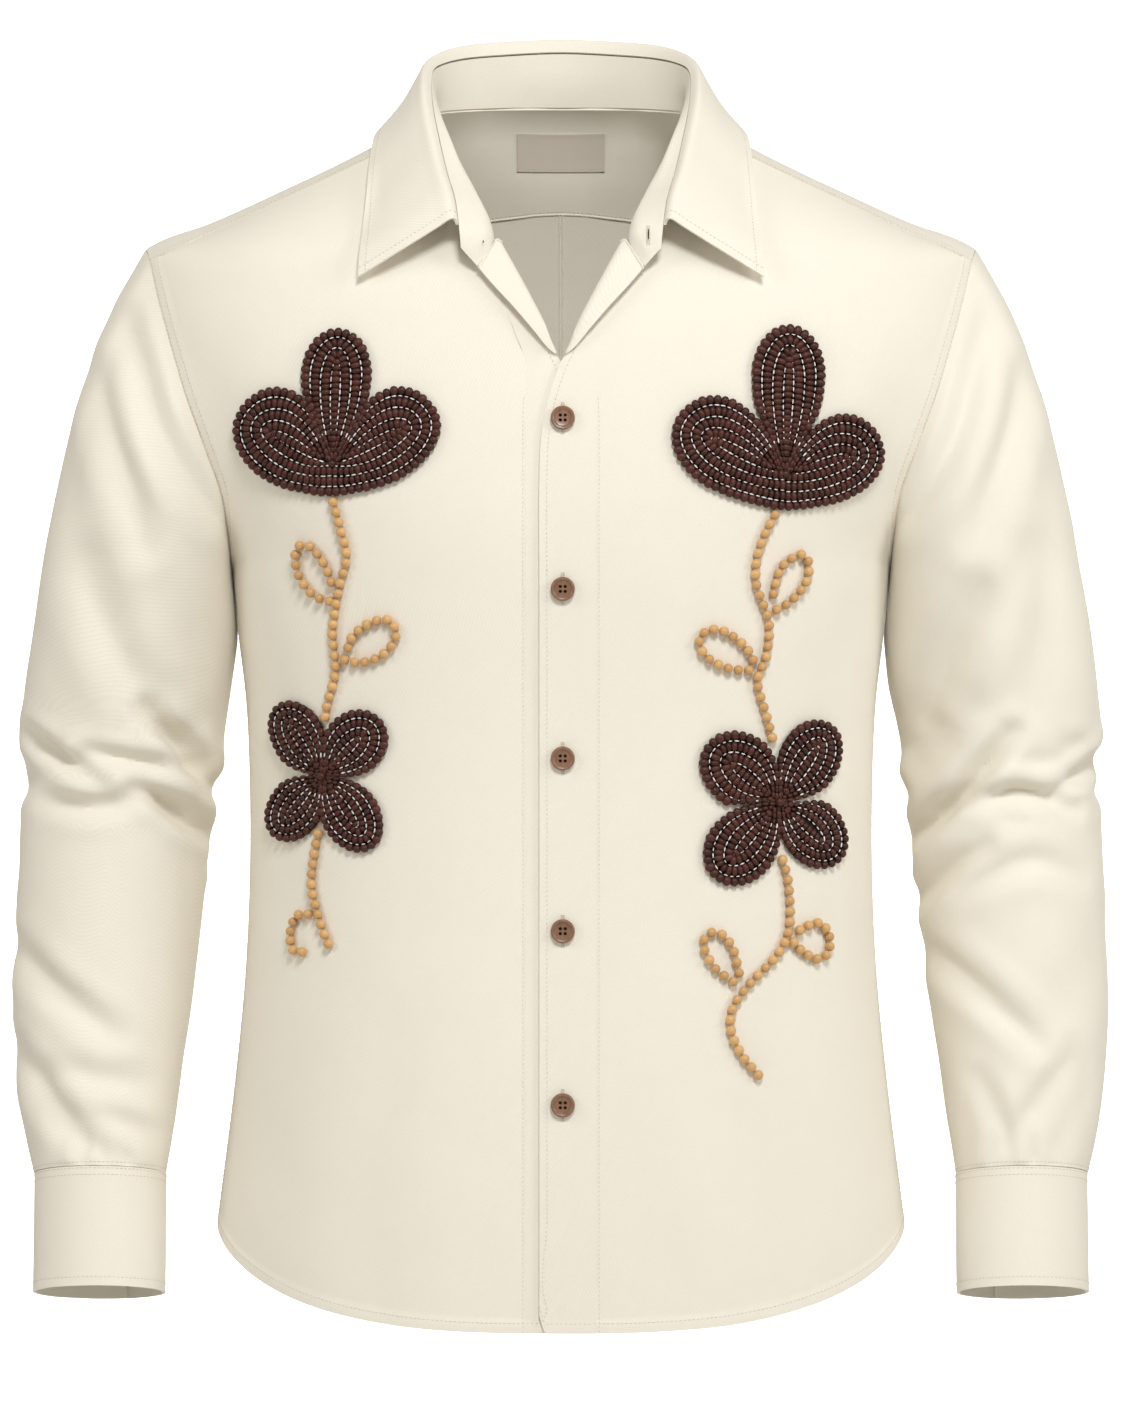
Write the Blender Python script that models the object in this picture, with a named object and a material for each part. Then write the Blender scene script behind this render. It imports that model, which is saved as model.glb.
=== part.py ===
"""Hollow long-sleeved shirt, filled out as worn, with bead-worked flowers on both fronts.

The shirt is built the way it is sewn: every panel is a thin closed wall made from rows and
columns of points on the garment's own surface. +X is to the viewer's right, the front faces
-Y and +Z is up. The origin is between the shoulders at the base of the neck. Tables are in
millimetres, everything after them is in metres.
"""
import math

import bmesh
import bpy
import numpy as np
from mathutils import Vector
from mathutils.bvhtree import BVHTree

MM = 0.001

# Cloth and seams
CLOTH = 1.2 * MM
DOUBLE_CLOTH = 1.6 * MM
CUFF_CLOTH = 2.0 * MM
SEAM_GAP = 0.3 * MM
SEAM_REACH = 32.0 * MM
FULLNESS = 2.7            # exponent of the torso's rounded section

# Box pleat at the centre back: half width, width of its folded edge, how far it stands out
PLEAT_HALF = 17.0 * MM
PLEAT_EDGE = 1.0 * MM
PLEAT_RISE = 1.6 * MM
PLEAT_END = -420.0 * MM   # where the pleat has opened out into the back

# Front band: how much deeper the under front lies, over what width and height it sinks
LAP_DROP = 2.2 * MM
LAP_REACH = 30.0 * MM
LAP_TOP = -128.0 * MM
LAP_FADE = 14.8 * MM
ROLL_RADIUS = 2.3 * MM
ROLL_START = 7.0 * MM     # how wide the turned part is when its roll has its whole radius
CORNER_RISE = 11.0 * MM   # rounded lower corner of a band
TURNED_RISE = 0.02        # how far the turned part stands off, over its width

# Buttons: radius and height round the profile, then holes, then heights on the front band
BUTTON_PROFILE = ((6.0, 0.0), (7.0, 1.0), (7.0, 2.3), (6.0, 3.2), (4.8, 2.0))
BUTTON_AROUND = 12
HOLE_RADIUS = 0.8 * MM
HOLE_OFFSET = 1.9 * MM
BUTTON_HEIGHTS = (-177.5, -275.5, -373.0, -472.5, -572.5)
BUTTON_X = 1.0 * MM

# Label: half width, top and bottom height, thickness of the tape
LABEL = (26.5, 3.6, -18.6)
LABEL_TAPE = 0.6 * MM

# Beads
DARK_BEAD = 4.4 * MM
TAN_BEAD = 5.6 * MM
BEAD_TOP = 4.0 * MM       # height of the bead rows of a petal over the cloth
BEAD_VALLEY = 2.6 * MM    # height between its rows
PETAL_AROUND = 16
PETAL_LIFT = 0.6 * MM
PETAL_REACH = 2.0 * MM    # a petal's underside clears the cloth this far round each point
STRING_REACH = 1.0 * MM
STRING_TOP = 1.7          # height of a string over its half width

# Torso sections from hem to underarm: height, half width, front depth, back depth
TORSO = (
    (-706, 206.0, 118.0, 116.5),
    (-655, 204.0, 118.0, 115.0),
    (-607, 198.0, 117.0, 112.0),
    (-547, 191.0, 115.0, 107.0),
    (-488, 186.0, 113.0, 103.0),
    (-428, 184.0, 112.0, 100.5),
    (-369, 184.5, 113.0, 100.5),
    (-324, 188.0, 116.0, 102.5),
    (-285, 193.0, 120.0, 105.0),
    (-262, 195.0, 122.0, 106.5),
)
# Depth of the chest and back above the underarm: height, front depth, back depth
UPPER = (
    (-242, 123.0, 107.5),
    (-216, 122.7, 108.0),
    (-194, 121.5, 107.5),
    (-167, 118.5, 106.0),
    (-137, 113.5, 103.5),
    (-104, 104.0, 99.0),
    (-81, 95.0, 95.0),
    (-62, 87.0, 90.5),
    (-44, 76.5, 85.0),
    (-22, 61.5, 75.0),
    (-4, 48.0, 66.0),
)
# Armhole edge of the fronts, from underarm to front yoke seam: height, half width, depth
ARM_FRONT = (
    (-262, 195.0, 0.0),
    (-254, 195.3, 16.0),
    (-240, 196.0, 33.0),
    (-216, 199.2, 52.0),
    (-194, 206.9, 60.5),
    (-167, 217.4, 61.5),
    (-137, 226.7, 55.0),
    (-104, 236.3, 43.0),
    (-81, 242.0, 30.0),
)
# Front yoke seam inside the armhole: height, half width, depth
YOKE_FRONT = (
    (-62.5, 202.0, 32.5),
    (-42.5, 160.0, 34.5),
    (-22.5, 118.0, 36.0),
    (-4, 78.5, 39.0),
)
# Armhole edge of the back, from underarm to back yoke seam: height, half width, depth
ARM_BACK = (
    (-262, 195.0, 0.0),
    (-254, 195.3, 17.0),
    (-240, 196.5, 34.0),
    (-212, 202.0, 50.0),
    (-182, 212.0, 56.0),
    (-150, 223.5, 55.5),
    (-122, 233.0, 48.5),
    (-100, 239.5, 41.0),
)
# Back yoke seam inside the armhole: height, half width, depth
YOKE_BACK = (
    (-86, 210.0, 54.0),
    (-72, 170.0, 66.0),
    (-58, 120.0, 76.0),
    (-47.5, 60.0, 83.0),
    (-44, 45.0, 84.0),
)
# Shoulder point of the yoke between the two armhole seams: half width, depth, height
SHOULDER_EDGE = ((245.3, -15.0, -74.0), (246.6, 1.0, -71.5), (244.6, 20.0, -81.0))
# Rows of a front: height at the band, height at the side
FRONT_ROWS = (
    (-703.7, -648.8), (-675, -624), (-636, -592), (-588, -552), (-528, -499), (-464, -441),
    (-404, -388), (-352, -340), (-309, -300), (-268, -262), (-257, -254), (-240, -240),
    (-214, -216), (-180, -190), (-142.8, -160), (-114, -132), (-85, -106), (-57.5, -92),
    (-4, -81),
)
# Rows of the back: height at the centre, height at the side
BACK_ROWS = (
    (-701, -648.8), (-670, -624), (-630, -592), (-580, -552), (-520, -499), (-455, -441),
    (-395, -388),
    (-343, -340), (-300, -300), (-262, -262), (-252, -254), (-235, -240), (-202, -212),
    (-166, -182), (-122, -150), (-82, -122), (-44, -100),
)
# Neckline on the fronts below the yoke seam: height, half width
NECK_FRONT = ((-57.5, 53.5), (-44, 61.0), (-31, 68.0), (-16, 74.5), (-4, 78.5))
# Neckline behind the front yoke seam to the centre back: half width, depth, height
NECK_BACK = (
    (78.5, -39, -4), (79.2, -20, 3), (77, 0, 8.5), (70.5, 20, 12.5),
    (56, 39, 15.5), (32, 53.5, 17.8), (0, 60, 18.5),
)
# The band above the V: seam x z, roll x z, free edge x z
BAND_TURN = (
    (25.4, -130.5, 6.9, -134.5, 7.9, -136.5),
    (30.6, -117.0, 12.0, -123.0, 16.5, -126.0),
    (37.9, -98.0, 19.5, -108.0, 28.0, -112.5),
    (45.6, -78.0, 28.5, -90.5, 38.5, -101.0),
    (53.5, -57.5, 37.5, -73.5, 47.8, -90.0),
)
# Free edge of the upper front below the V: heights in metres, edge x in millimetres
BAND_EDGE_CURVE = ((-0.20, -0.1917, -0.176, -0.165, -0.155, -0.1428),
                   (-12.5, -11.8, -9.8, -7.1, -4.0, 1.1))
BAND_SEAM = 20.7 * MM     # where a front meets its band, from the centre line
V_BOTTOM = -142.8 * MM
BAND_ROWS = (-703.9, -690, -636, -588, -528, -464, -404, -352, -309, -268, -214, -192, -176, -165,
             -154, -142.8)
# Collar stand: base x y z, middle x y z, top x y z, from the centre back to the turned end
STAND = (
    (0, 60, 18.9, 0, 58.0, 35.0, 0, 57.0, 51.0),
    (32, 53.5, 18.2, 32, 51.8, 33.5, 32, 51.0, 49.0),
    (56, 39, 15.9, 56, 38.0, 30.5, 56.5, 37.5, 45.5),
    (70.5, 20, 12.9, 69.5, 20.0, 26.5, 70, 20.0, 40.5),
    (77.0, 0, 8.9, 74.5, -0.5, 21.5, 76, 0, 34.0),
    (78.6, -20, 3.4, 74.0, -22.0, 13.5, 77, -20, 24.0),
    (77.6, -39, -3.4, 70.8, -43.0, 2.5, 75.5, -41, 9.5),
    (70.6, -60, -22.6, 61.5, -66.0, -19.0, 71, -64, -12.5),
    (60.0, -76, -44.0, 51.0, -82.0, -42.5, 66.0, -83, -34.0),
    (46.5, -87.4, -63.6, 41.0, -93.8, -62.0, 60.8, -98.6, -53.0),
    (39.4, -94.0, -72.0, 43.0, -101.8, -69.4, 59.0, -103.6, -65.5),
    (48.4, -103.6, -89.0, 53.0, -104.6, -84.0, 58.0, -105.0, -78.5),
)
# Collar leaf: seam x y z, fold x y z, middle x y z, edge x y z, at the stand's stations
LEAF = (
    (0, 57.2, 51.5, 0, 62.0, 60.0, 0, 68.5, 38.0, 0, 73.0, 12.0),
    (32, 51.3, 49.6, 35, 55.5, 58.0, 40, 62.5, 37.0, 45, 67.0, 10.5),
    (56.5, 37.8, 46.1, 59, 41.0, 53.5, 67, 47.0, 33.0, 74, 52.0, 8.0),
    (70, 20.3, 41.1, 73.5, 22.0, 47.0, 83.5, 25.0, 26.0, 95, 27.0, 5.0),
    (76, 0.2, 34.6, 80.5, 0.5, 38.5, 92.5, 0, 18.0, 106, 0, 0.5),
    (77, -20, 24.6, 81.5, -20, 28.5, 95.5, -22, 8.0, 110, -24, -7.0),
    (75.5, -41, 10.1, 80.0, -42, 14.0, 96.0, -44, -6.0, 112, -46, -24.0),
    (71, -64.2, -12.0, 75.0, -65.5, -8.0, 94.0, -68, -29.0, 113.5, -68, -48.0),
    (66.0, -83.4, -33.4, 69.0, -86, -29.5, 92.0, -88, -50.0, 115, -86, -68.0),
    (61.0, -98.0, -52.4, 63.0, -101.5, -48.5, 90.0, -102, -68.0, 116.5, -98, -84.0),
    (59.0, -104.6, -64.6, 60.0, -107, -60.5, 89.0, -106, -78.0, 117, -101.5, -95.0),
)
# Sleeve sections: height, inner x, outer x, middle y, half depth, forward tilt in degrees
SLEEVE = (
    (-309, 193.6, 316.6, 12.0, 60.0, 0.0),
    (-322, 195.6, 318.8, 14.0, 59.8, 0.5),
    (-347, 199.4, 321.4, 17.5, 59.0, 1.5),
    (-358, 201.0, 321.6, 18.5, 58.6, 2.0),
    (-369, 202.6, 321.4, 19.0, 58.0, 3.0),
    (-380, 204.2, 321.2, 19.0, 57.4, 4.0),
    (-391, 205.6, 321.4, 18.6, 56.8, 5.0),
    (-402, 207.0, 321.8, 17.8, 56.2, 6.0),
    (-430, 210.2, 323.0, 14.5, 54.8, 8.0),
    (-450, 212.2, 323.8, 11.6, 53.8, 8.6),
    (-474, 214.6, 324.6, 8.0, 52.4, 9.0),
    (-500, 217.4, 325.6, 4.0, 50.6, 9.5),
    (-526, 220.4, 325.4, -0.4, 48.6, 10.0),
    (-550, 224.0, 324.0, -4.4, 46.2, 10.6),
    (-572, 227.2, 321.6, -8.2, 43.8, 11.2),
    (-592, 229.8, 318.4, -12.0, 41.6, 11.6),
    (-619.7, 233.8, 311.8, -17.4, 38.0, 12.0),
)
YOKE_RISE = 0.42          # how steeply the yoke leaves the front seam at the armhole
SHOULDER_SLOPE = 0.50
CUFF = (
    (-620.0, 233.4, 311.6, -17.5, 38.0, 12.0),
    (-654.0, 233.2, 311.4, -24.4, 37.7, 12.0),
    (-688.5, 233.1, 311.3, -31.5, 37.4, 12.0),
)
# Sleeve folds: angle (0 outer, 90 front), height, tilt in mm per degree, half length in
# degrees, half width in mm, depth in mm (minus for a ridge)
SLEEVE_FOLDS = (
    (52, -374, -0.42, 30, 9, 5.0),
    (134, -364, -0.70, 26, 9, 6.0),
    (128, -402, -0.50, 26, 10, 5.5),
    (84, -388, -0.15, 42, 8, -3.5),
    (70, -402, 0.10, 34, 9, 3.6),
    (160, -384, 0.0, 26, 9, -4.0),
    (20, -386, 0.0, 28, 9, 4.5),
    (15, -358, 0.0, 32, 12, -2.6),
    (215, -372, 0.40, 40, 10, 5.0),
    (300, -392, -0.30, 40, 11, 4.4),
    (60, -512, -0.60, 42, 16, 3.0),
    (62, -578, -0.70, 34, 13, 3.2),
    (285, -540, 0.50, 40, 16, 3.0),
    (66, -262, -1.2, 30, 13, 3.0),
    (40, -236, -1.3, 28, 13, 2.6),
)
# Flowers: centre x z, directions in degrees of the lines between neighbouring petals, then a
# row for each petal: direction, length, half width above and below its axis, place of the
# widest point, and how pointed its base is above and below (1 is a plain point)
FLOWERS = {
    "bloom_right": (
        (-131.2, -205.3), (60, 112, 270),
        ((87, 80, 20.5, 20.5, 0.66, 0.9, 0.9), (153, 62, 24.5, 23.5, 0.56, 0.8, 0.50),
         (27, 62, 23.5, 24.5, 0.56, 0.50, 0.8)),
    ),
    "bloom_left": (
        (128.3, -209.5), (62, 112, 270),
        ((87, 86, 21.0, 21.0, 0.66, 0.9, 0.9), (151, 66, 26.0, 24.5, 0.56, 0.8, 0.50),
         (29, 63, 24.5, 25.5, 0.56, 0.50, 0.8)),
    ),
    "clover_right": (
        (-136.8, -384.0), (88, 176, 267, 359),
        ((54, 51, 15.2, 15.2, 0.60, 0.7, 0.7), (121, 49, 15.0, 15.0, 0.60, 0.7, 0.7),
         (230, 48, 15.0, 15.0, 0.60, 0.7, 0.7), (305, 49, 15.0, 15.0, 0.60, 0.7, 0.7)),
    ),
    "clover_left": (
        (125.2, -399.0), (90, 180, 270, 0),
        ((55, 54, 16.0, 16.0, 0.60, 0.7, 0.7), (139, 55, 18.0, 18.0, 0.60, 0.7, 0.7),
         (229, 56, 18.0, 18.0, 0.60, 0.7, 0.7), (311, 53, 16.0, 16.0, 0.60, 0.7, 0.7)),
    ),
}
# Vine strings: x z of the points that each string of beads passes
VINES = {
    "stem_right_upper": ((-130.5, -225), (-126.5, -240), (-122.8, -257), (-127, -274),
                         (-131, -298), (-129.5, -322), (-134, -341), (-135.3, -349)),
    "stem_right_lower": ((-139.5, -417), (-142, -430), (-143.5, -447), (-140, -463),
                         (-136, -475), (-133.5, -481)),
    "loop_right_left": ((-132.5, -282), (-142, -278.5), (-151, -266), (-152, -252),
                        (-145, -249.5), (-136, -260), (-131.5, -271)),
    "loop_right_right": ((-124, -316), (-114, -317.5), (-102, -313), (-94.5, -303),
                         (-98, -293.5), (-109, -294.5), (-119, -302), (-122, -309)),
    "curl_right": ((-145.5, -464), (-152.5, -465.5), (-156, -475), (-154.5, -485), (-149, -486)),
    "stem_left_upper": ((122.5, -232.5), (117, -243), (112, -258), (112, -274), (119, -294),
                        (117.5, -314), (112.5, -328), (117, -346), (121, -361)),
    "stem_left_lower": ((127, -432), (130.5, -446), (131, -471), (124, -487), (108.5, -503),
                        (98.5, -517), (97.5, -531), (104, -545), (113, -556)),
    "loop_left_right": ((123.5, -287), (131, -282.5), (140, -272), (142, -260), (137, -255),
                        (126, -263), (121.5, -278)),
    "loop_left_left": ((107.5, -322), (96, -321), (84, -315), (79, -306), (84, -299),
                       (94, -300), (105, -308), (110, -316)),
    "leaf_left_right": ((137, -473), (147, -469), (154, -475), (154, -486), (147, -490),
                        (137, -484), (133.5, -480)),
    "leaf_left_left": ((98.5, -502), (88, -494), (82, -483), (83, -475.5), (90, -473.5),
                       (98, -482), (102, -497)),
}

SHIRT = (0.86, 0.80, 0.69)
BROWN = (0.070, 0.018, 0.012)
TAN = (0.66, 0.37, 0.13)
HORN = (0.16, 0.075, 0.04)
TAUPE = (0.44, 0.39, 0.34)


def curve(xs, ys):
    """Smooth curve through points with rising x, as a function of arrays."""
    xs = np.asarray(xs, float)
    ys = np.asarray(ys, float)
    step = np.diff(xs)
    slope = np.diff(ys) / step
    tangent = np.zeros(len(xs))
    tangent[0] = slope[0]
    tangent[-1] = slope[-1]
    same = slope[1:] * slope[:-1] > 0
    harmonic = 2 * slope[1:] * slope[:-1] / np.where(same, slope[1:] + slope[:-1], 1)
    tangent[1:-1] = np.where(same, harmonic, 0)

    def value(x):
        x = np.clip(np.asarray(x, float), xs[0], xs[-1])
        k = np.clip(np.searchsorted(xs, x) - 1, 0, len(step) - 1)
        w = (x - xs[k]) / step[k]
        rise = ys[k] * (1 - w) ** 2 * (1 + 2 * w) + ys[k + 1] * w ** 2 * (3 - 2 * w)
        lean = tangent[k] * w * (1 - w) ** 2 - tangent[k + 1] * w ** 2 * (1 - w)
        return rise + lean * step[k]

    return value


def path(points, count):
    """Points at even steps along a smooth curve through the given points."""
    points = np.asarray(points, float)
    before = 2 * points[0] - points[1]
    after = 2 * points[-1] - points[-2]
    p = np.vstack([before, points, after])
    fine = []
    for k in range(1, len(p) - 2):
        for w in np.arange(0, 1, 0.05):
            fine.append(0.5 * (2 * p[k] + (p[k + 1] - p[k - 1]) * w
                               + (2 * p[k - 1] - 5 * p[k] + 4 * p[k + 1] - p[k + 2]) * w ** 2
                               + (3 * p[k] - p[k - 1] - 3 * p[k + 1] + p[k + 2]) * w ** 3))
    fine.append(points[-1])
    fine = np.array(fine)
    run = np.concatenate([[0], np.cumsum(np.linalg.norm(np.diff(fine, axis=0), axis=1))])
    at = np.linspace(0, run[-1], count)
    return np.stack([np.interp(at, run, fine[:, k]) for k in range(fine.shape[1])], axis=1)


def virtual_width(half_width, depth, full_depth):
    """Half width of the section that passes an edge point short of its own side."""
    share = 1 - (depth / full_depth) ** 2
    return half_width / share ** (1 / FULLNESS)


class Torso:
    """Front and back of the body as depth over width and height."""

    def __init__(self):
        low = np.array(TORSO, float) * MM
        up = np.array(UPPER, float) * MM
        heights = np.concatenate([low[:, 0], up[:, 0]])
        self.width = curve(low[:, 0], low[:, 1])
        self.front_depth = curve(heights, np.concatenate([low[:, 2], up[:, 1]]))
        self.back_depth = curve(heights, np.concatenate([low[:, 3], up[:, 2]]))
        self.arm_front = np.array(ARM_FRONT, float) * MM
        self.arm_back = np.array(ARM_BACK, float) * MM
        self.front_width = self.side_width(low, ARM_FRONT[1:] + YOKE_FRONT, self.front_depth)
        self.back_width = self.side_width(low, ARM_BACK[1:] + YOKE_BACK, self.back_depth)

    @staticmethod
    def side_width(low, edge, full_depth):
        edge = np.array(edge, float) * MM
        wide = virtual_width(edge[:, 1], edge[:, 2], full_depth(edge[:, 0]))
        return curve(np.concatenate([low[:, 0], edge[:, 0]]), np.concatenate([low[:, 1], wide]))

    def front(self, x, z):
        share = np.clip(np.abs(x) / self.front_width(z), 0, 1) ** FULLNESS
        return -self.front_depth(z) * np.sqrt(1 - share)

    def back(self, x, z):
        share = np.clip(np.abs(x) / self.back_width(z), 0, 1) ** FULLNESS
        return self.back_depth(z) * np.sqrt(1 - share)

    def arm_edge(self, edge, z):
        """Half width and depth of the armhole edge at a height above the underarm."""
        return np.interp(z, edge[:, 0], edge[:, 1]), np.interp(z, edge[:, 0], edge[:, 2])


def hem_rise(share):
    """How the hem climbs from the centre (0) to the side corner (1)."""
    return 1 - (1 - np.clip(share, 0, 1) ** 3) ** 0.625


def row_points(torso, side_of, edge, inner, z_in, z_out, columns):
    """One row across half of a front or back, from its inner edge to the side."""
    underarm = edge[0, 0]
    width = torso.front_width if side_of == torso.front else torso.back_width
    wide = width(z_out)
    outer = torso.width(z_out)
    depth = 0.0
    if z_out > underarm:
        outer, depth = torso.arm_edge(edge, z_out)
    start = math.asin((inner / wide) ** (FULLNESS / 2))
    end = math.asin(min(1, (outer / wide)) ** (FULLNESS / 2))
    turn = start + (end - start) * columns
    x = wide * np.sin(turn) ** (2 / FULLNESS)
    level = (x - inner) / (outer - inner)
    low = np.clip((z_out + 0.48) / -0.17, 0, 1)
    level = (1 - low) * level + low * hem_rise(x / outer)
    z = z_in + (z_out - z_in) * level
    y = side_of(x, z)
    sign = -1 if side_of == torso.front else 1
    y = y + (sign * depth - y[-1]) * columns ** 5
    return np.stack([x, y, z], axis=1)


def grid_normals(grid, wrap=False):
    """Unit normals of a grid of points, from its own rows and columns."""
    along = np.gradient(grid, axis=0)
    across = np.gradient(grid, axis=1)
    if wrap:
        across = (np.roll(grid, -1, axis=1) - np.roll(grid, 1, axis=1)) / 2
    normal = np.cross(across, along)
    return normal / np.maximum(np.linalg.norm(normal, axis=2, keepdims=True), 1e-12)


def seam_normals(panels):
    """Normals of several panels, made alike where their edges meet at a seam."""
    normals = {name: grid_normals(grid, wrap) for name, (grid, wrap) in panels.items()}
    edges = {}
    for name, (grid, wrap) in panels.items():
        rows, columns = grid.shape[:2]
        border = np.zeros((rows, columns), bool)
        border[0] = border[-1] = True
        if not wrap:
            border[:, 0] = border[:, -1] = True
        edges[name] = (border, grid[border], normals[name][border])
    for name, (border, spots, own) in edges.items():
        met = own.copy()
        for other, (_, far, theirs) in edges.items():
            if other == name:
                continue
            away = np.linalg.norm(spots[:, None] - far[None], axis=2)
            nearest = away.argmin(axis=1)
            close = (away.min(axis=1) < SEAM_REACH) & ((own * theirs[nearest]).sum(axis=1) > 0.2)
            met += theirs[nearest] * close[:, None]
        normals[name][border] = met / np.linalg.norm(met, axis=1, keepdims=True)
    return normals


def wall(outer, inner, wrap=False):
    """Vertices and triangles of a closed wall between two grids of points."""
    rows, columns = outer.shape[:2]
    half = rows * columns
    verts = np.concatenate([outer.reshape(-1, 3), inner.reshape(-1, 3)])
    faces = []

    def quad(a, b, c, d):
        faces.append((a, b, c))
        faces.append((a, c, d))

    last = columns if wrap else columns - 1
    for i in range(rows - 1):
        for j in range(last):
            k = (j + 1) % columns
            a, b = i * columns + j, i * columns + k
            c, d = (i + 1) * columns + k, (i + 1) * columns + j
            quad(a, b, c, d)
            faces.append((half + c, half + b, half + a))
            faces.append((half + d, half + c, half + a))
    for j in range(last):
        k = (j + 1) % columns
        top = (rows - 1) * columns
        quad(j, half + j, half + k, k)
        quad(top + k, half + top + k, half + top + j, top + j)
    if not wrap:
        for i in range(rows - 1):
            a, d = i * columns, (i + 1) * columns
            b, c = a + columns - 1, d + columns - 1
            quad(d, half + d, half + a, a)
            quad(b, half + b, half + c, c)
    return verts, faces


def pull_in(grid, rows=True, columns=True, gap=SEAM_GAP / 2):
    """Draws the edges of a grid in by half a seam gap."""
    grid = grid.copy()

    def draw(edge, inside):
        step = inside - edge
        length = np.linalg.norm(step, axis=1, keepdims=True)
        return edge + step * gap / np.maximum(length, 1e-9)

    if rows:
        grid[0] = draw(grid[0], grid[1])
        grid[-1] = draw(grid[-1], grid[-2])
    if columns:
        grid[:, 0] = draw(grid[:, 0], grid[:, 1])
        grid[:, -1] = draw(grid[:, -1], grid[:, -2])
    return grid


def mirrored(grid):
    """The same grid on the other side, with its columns turned round to stay outward."""
    return (grid * np.array([-1, 1, 1]))[:, ::-1]


def material(name, colour, rough=0.85, metallic=0.0):
    found = bpy.data.materials.get(name)
    if found:
        return found
    made = bpy.data.materials.new(name)
    made.use_nodes = True
    shader = made.node_tree.nodes["Principled BSDF"]
    shader.inputs["Base Color"].default_value = (*colour, 1)
    shader.inputs["Roughness"].default_value = rough
    shader.inputs["Metallic"].default_value = metallic
    made.diffuse_color = (*colour, 1)
    return made


def add_object(name, verts, faces, finish):
    mesh = bpy.data.meshes.new(name)
    mesh.from_pydata([tuple(v) for v in verts], [], faces)
    shape = bmesh.new()
    shape.from_mesh(mesh)
    bmesh.ops.recalc_face_normals(shape, faces=shape.faces)
    shape.to_mesh(mesh)
    shape.free()
    mesh.shade_smooth()
    mesh.materials.append(finish)
    made = bpy.data.objects.new(name, mesh)
    bpy.context.collection.objects.link(made)
    return made


def front_grid(torso):
    """Panel of the upper front at positive x, from band seam to side seam."""
    columns = np.linspace(0, 1, 10)
    seam = np.array(BAND_TURN, float)[:, :2] * MM
    neck = np.array(NECK_FRONT, float) * MM
    heights = np.concatenate([[V_BOTTOM], seam[:, 1], neck[1:, 0]])
    widths = np.concatenate([[BAND_SEAM], seam[:, 0], neck[1:, 1]])
    rows = []
    for z_in, z_out in np.array(FRONT_ROWS) * MM:
        inner = float(np.interp(z_in, heights, widths))
        rows.append(row_points(torso, torso.front, torso.arm_front, inner, z_in, z_out, columns))
    return np.array(rows)


def below_v(height):
    """0 above the V, rising to 1 where the two fronts lie on each other."""
    return np.clip((LAP_TOP - height) / LAP_FADE, 0, 1)


def lap_drop(grid, side):
    """Lets the under front sink behind the upper one near the centre."""
    if side > 0:
        return grid
    grid = grid.copy()
    near = np.clip(1 - (np.abs(grid[..., 0]) - BAND_SEAM) / LAP_REACH, 0, 1)
    grid[..., 1] += LAP_DROP * near * near * (3 - 2 * near) * below_v(grid[..., 2])
    return grid


def band_grid(torso, side):
    """Front band from its seam to its free edge, turned out above the V."""
    on_chest = np.array([0, 0.4, 0.8])
    round_roll = np.array([0.0, 0.33, 0.67, 1.0])
    turned_out = np.array([0.5, 1.0])
    flat_columns = np.array([0, 0.3, 0.6, 0.75, 0.81, 0.86, 0.91, 0.955, 1.0])
    fold_columns = np.array([0, 0.33, 0.66, 0.90, 0.92, 0.94, 0.96, 0.98, 1.0])
    rows = []
    for z in np.array(BAND_ROWS) * MM:
        edge = float(np.interp(z, *BAND_EDGE_CURVE)) * MM
        folded = np.clip((z - BUTTON_HEIGHTS[0] * MM) / (V_BOTTOM - BUTTON_HEIGHTS[0] * MM), 0, 1)
        share = flat_columns + (fold_columns - flat_columns) * folded
        x = BAND_SEAM + (edge - BAND_SEAM) * share
        height = np.full(len(x), z)
        if z < -0.70:
            height = z + CORNER_RISE * np.clip((share - 0.86) / 0.14, 0, 1) ** 2
        rows.append(np.stack([x, torso.front(x, height), height], axis=1))
    for row in np.array(BAND_TURN) * MM:
        start, roll, free = row[:2], row[2:4], row[4:]
        flat = np.linalg.norm(roll - start)
        turned = np.linalg.norm(free - roll)
        toward = (roll - start) / flat
        back = (free - roll) / turned
        radius = ROLL_RADIUS * min(1, turned / ROLL_START)
        points = [(start + toward * flat * d, 0.0) for d in on_chest]
        for angle in round_roll * math.pi:
            points.append((roll + toward * radius * math.sin(angle), radius * (1 - math.cos(angle))))
        for far in turned_out * turned:
            points.append((roll + back * far, 2 * radius + far * TURNED_RISE))
        rows.append([(x, float(torso.front(x, z)) - lift, z) for (x, z), lift in points])
    grid = np.array(rows)
    if side < 0:
        grid[..., 1] += LAP_DROP * below_v(grid[..., 2])
    return grid


def turn_at_v(grid, normals):
    """Leans a band's normals over at the bottom of the V, where its edge starts to roll."""
    row = len(BAND_ROWS) - 1
    order = np.argsort(np.abs(grid[row, :, 0]))
    base = normals[row, order[-2]]
    inward = grid[row, order[-1]] - grid[row, order[0]]
    inward = inward / np.linalg.norm(inward)
    for rank, column in enumerate(order):
        angle = math.pi / 2 * max(0, 1 - rank / 5)
        normals[row, column] = base * math.cos(angle) + inward * math.sin(angle)
    return normals


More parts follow.
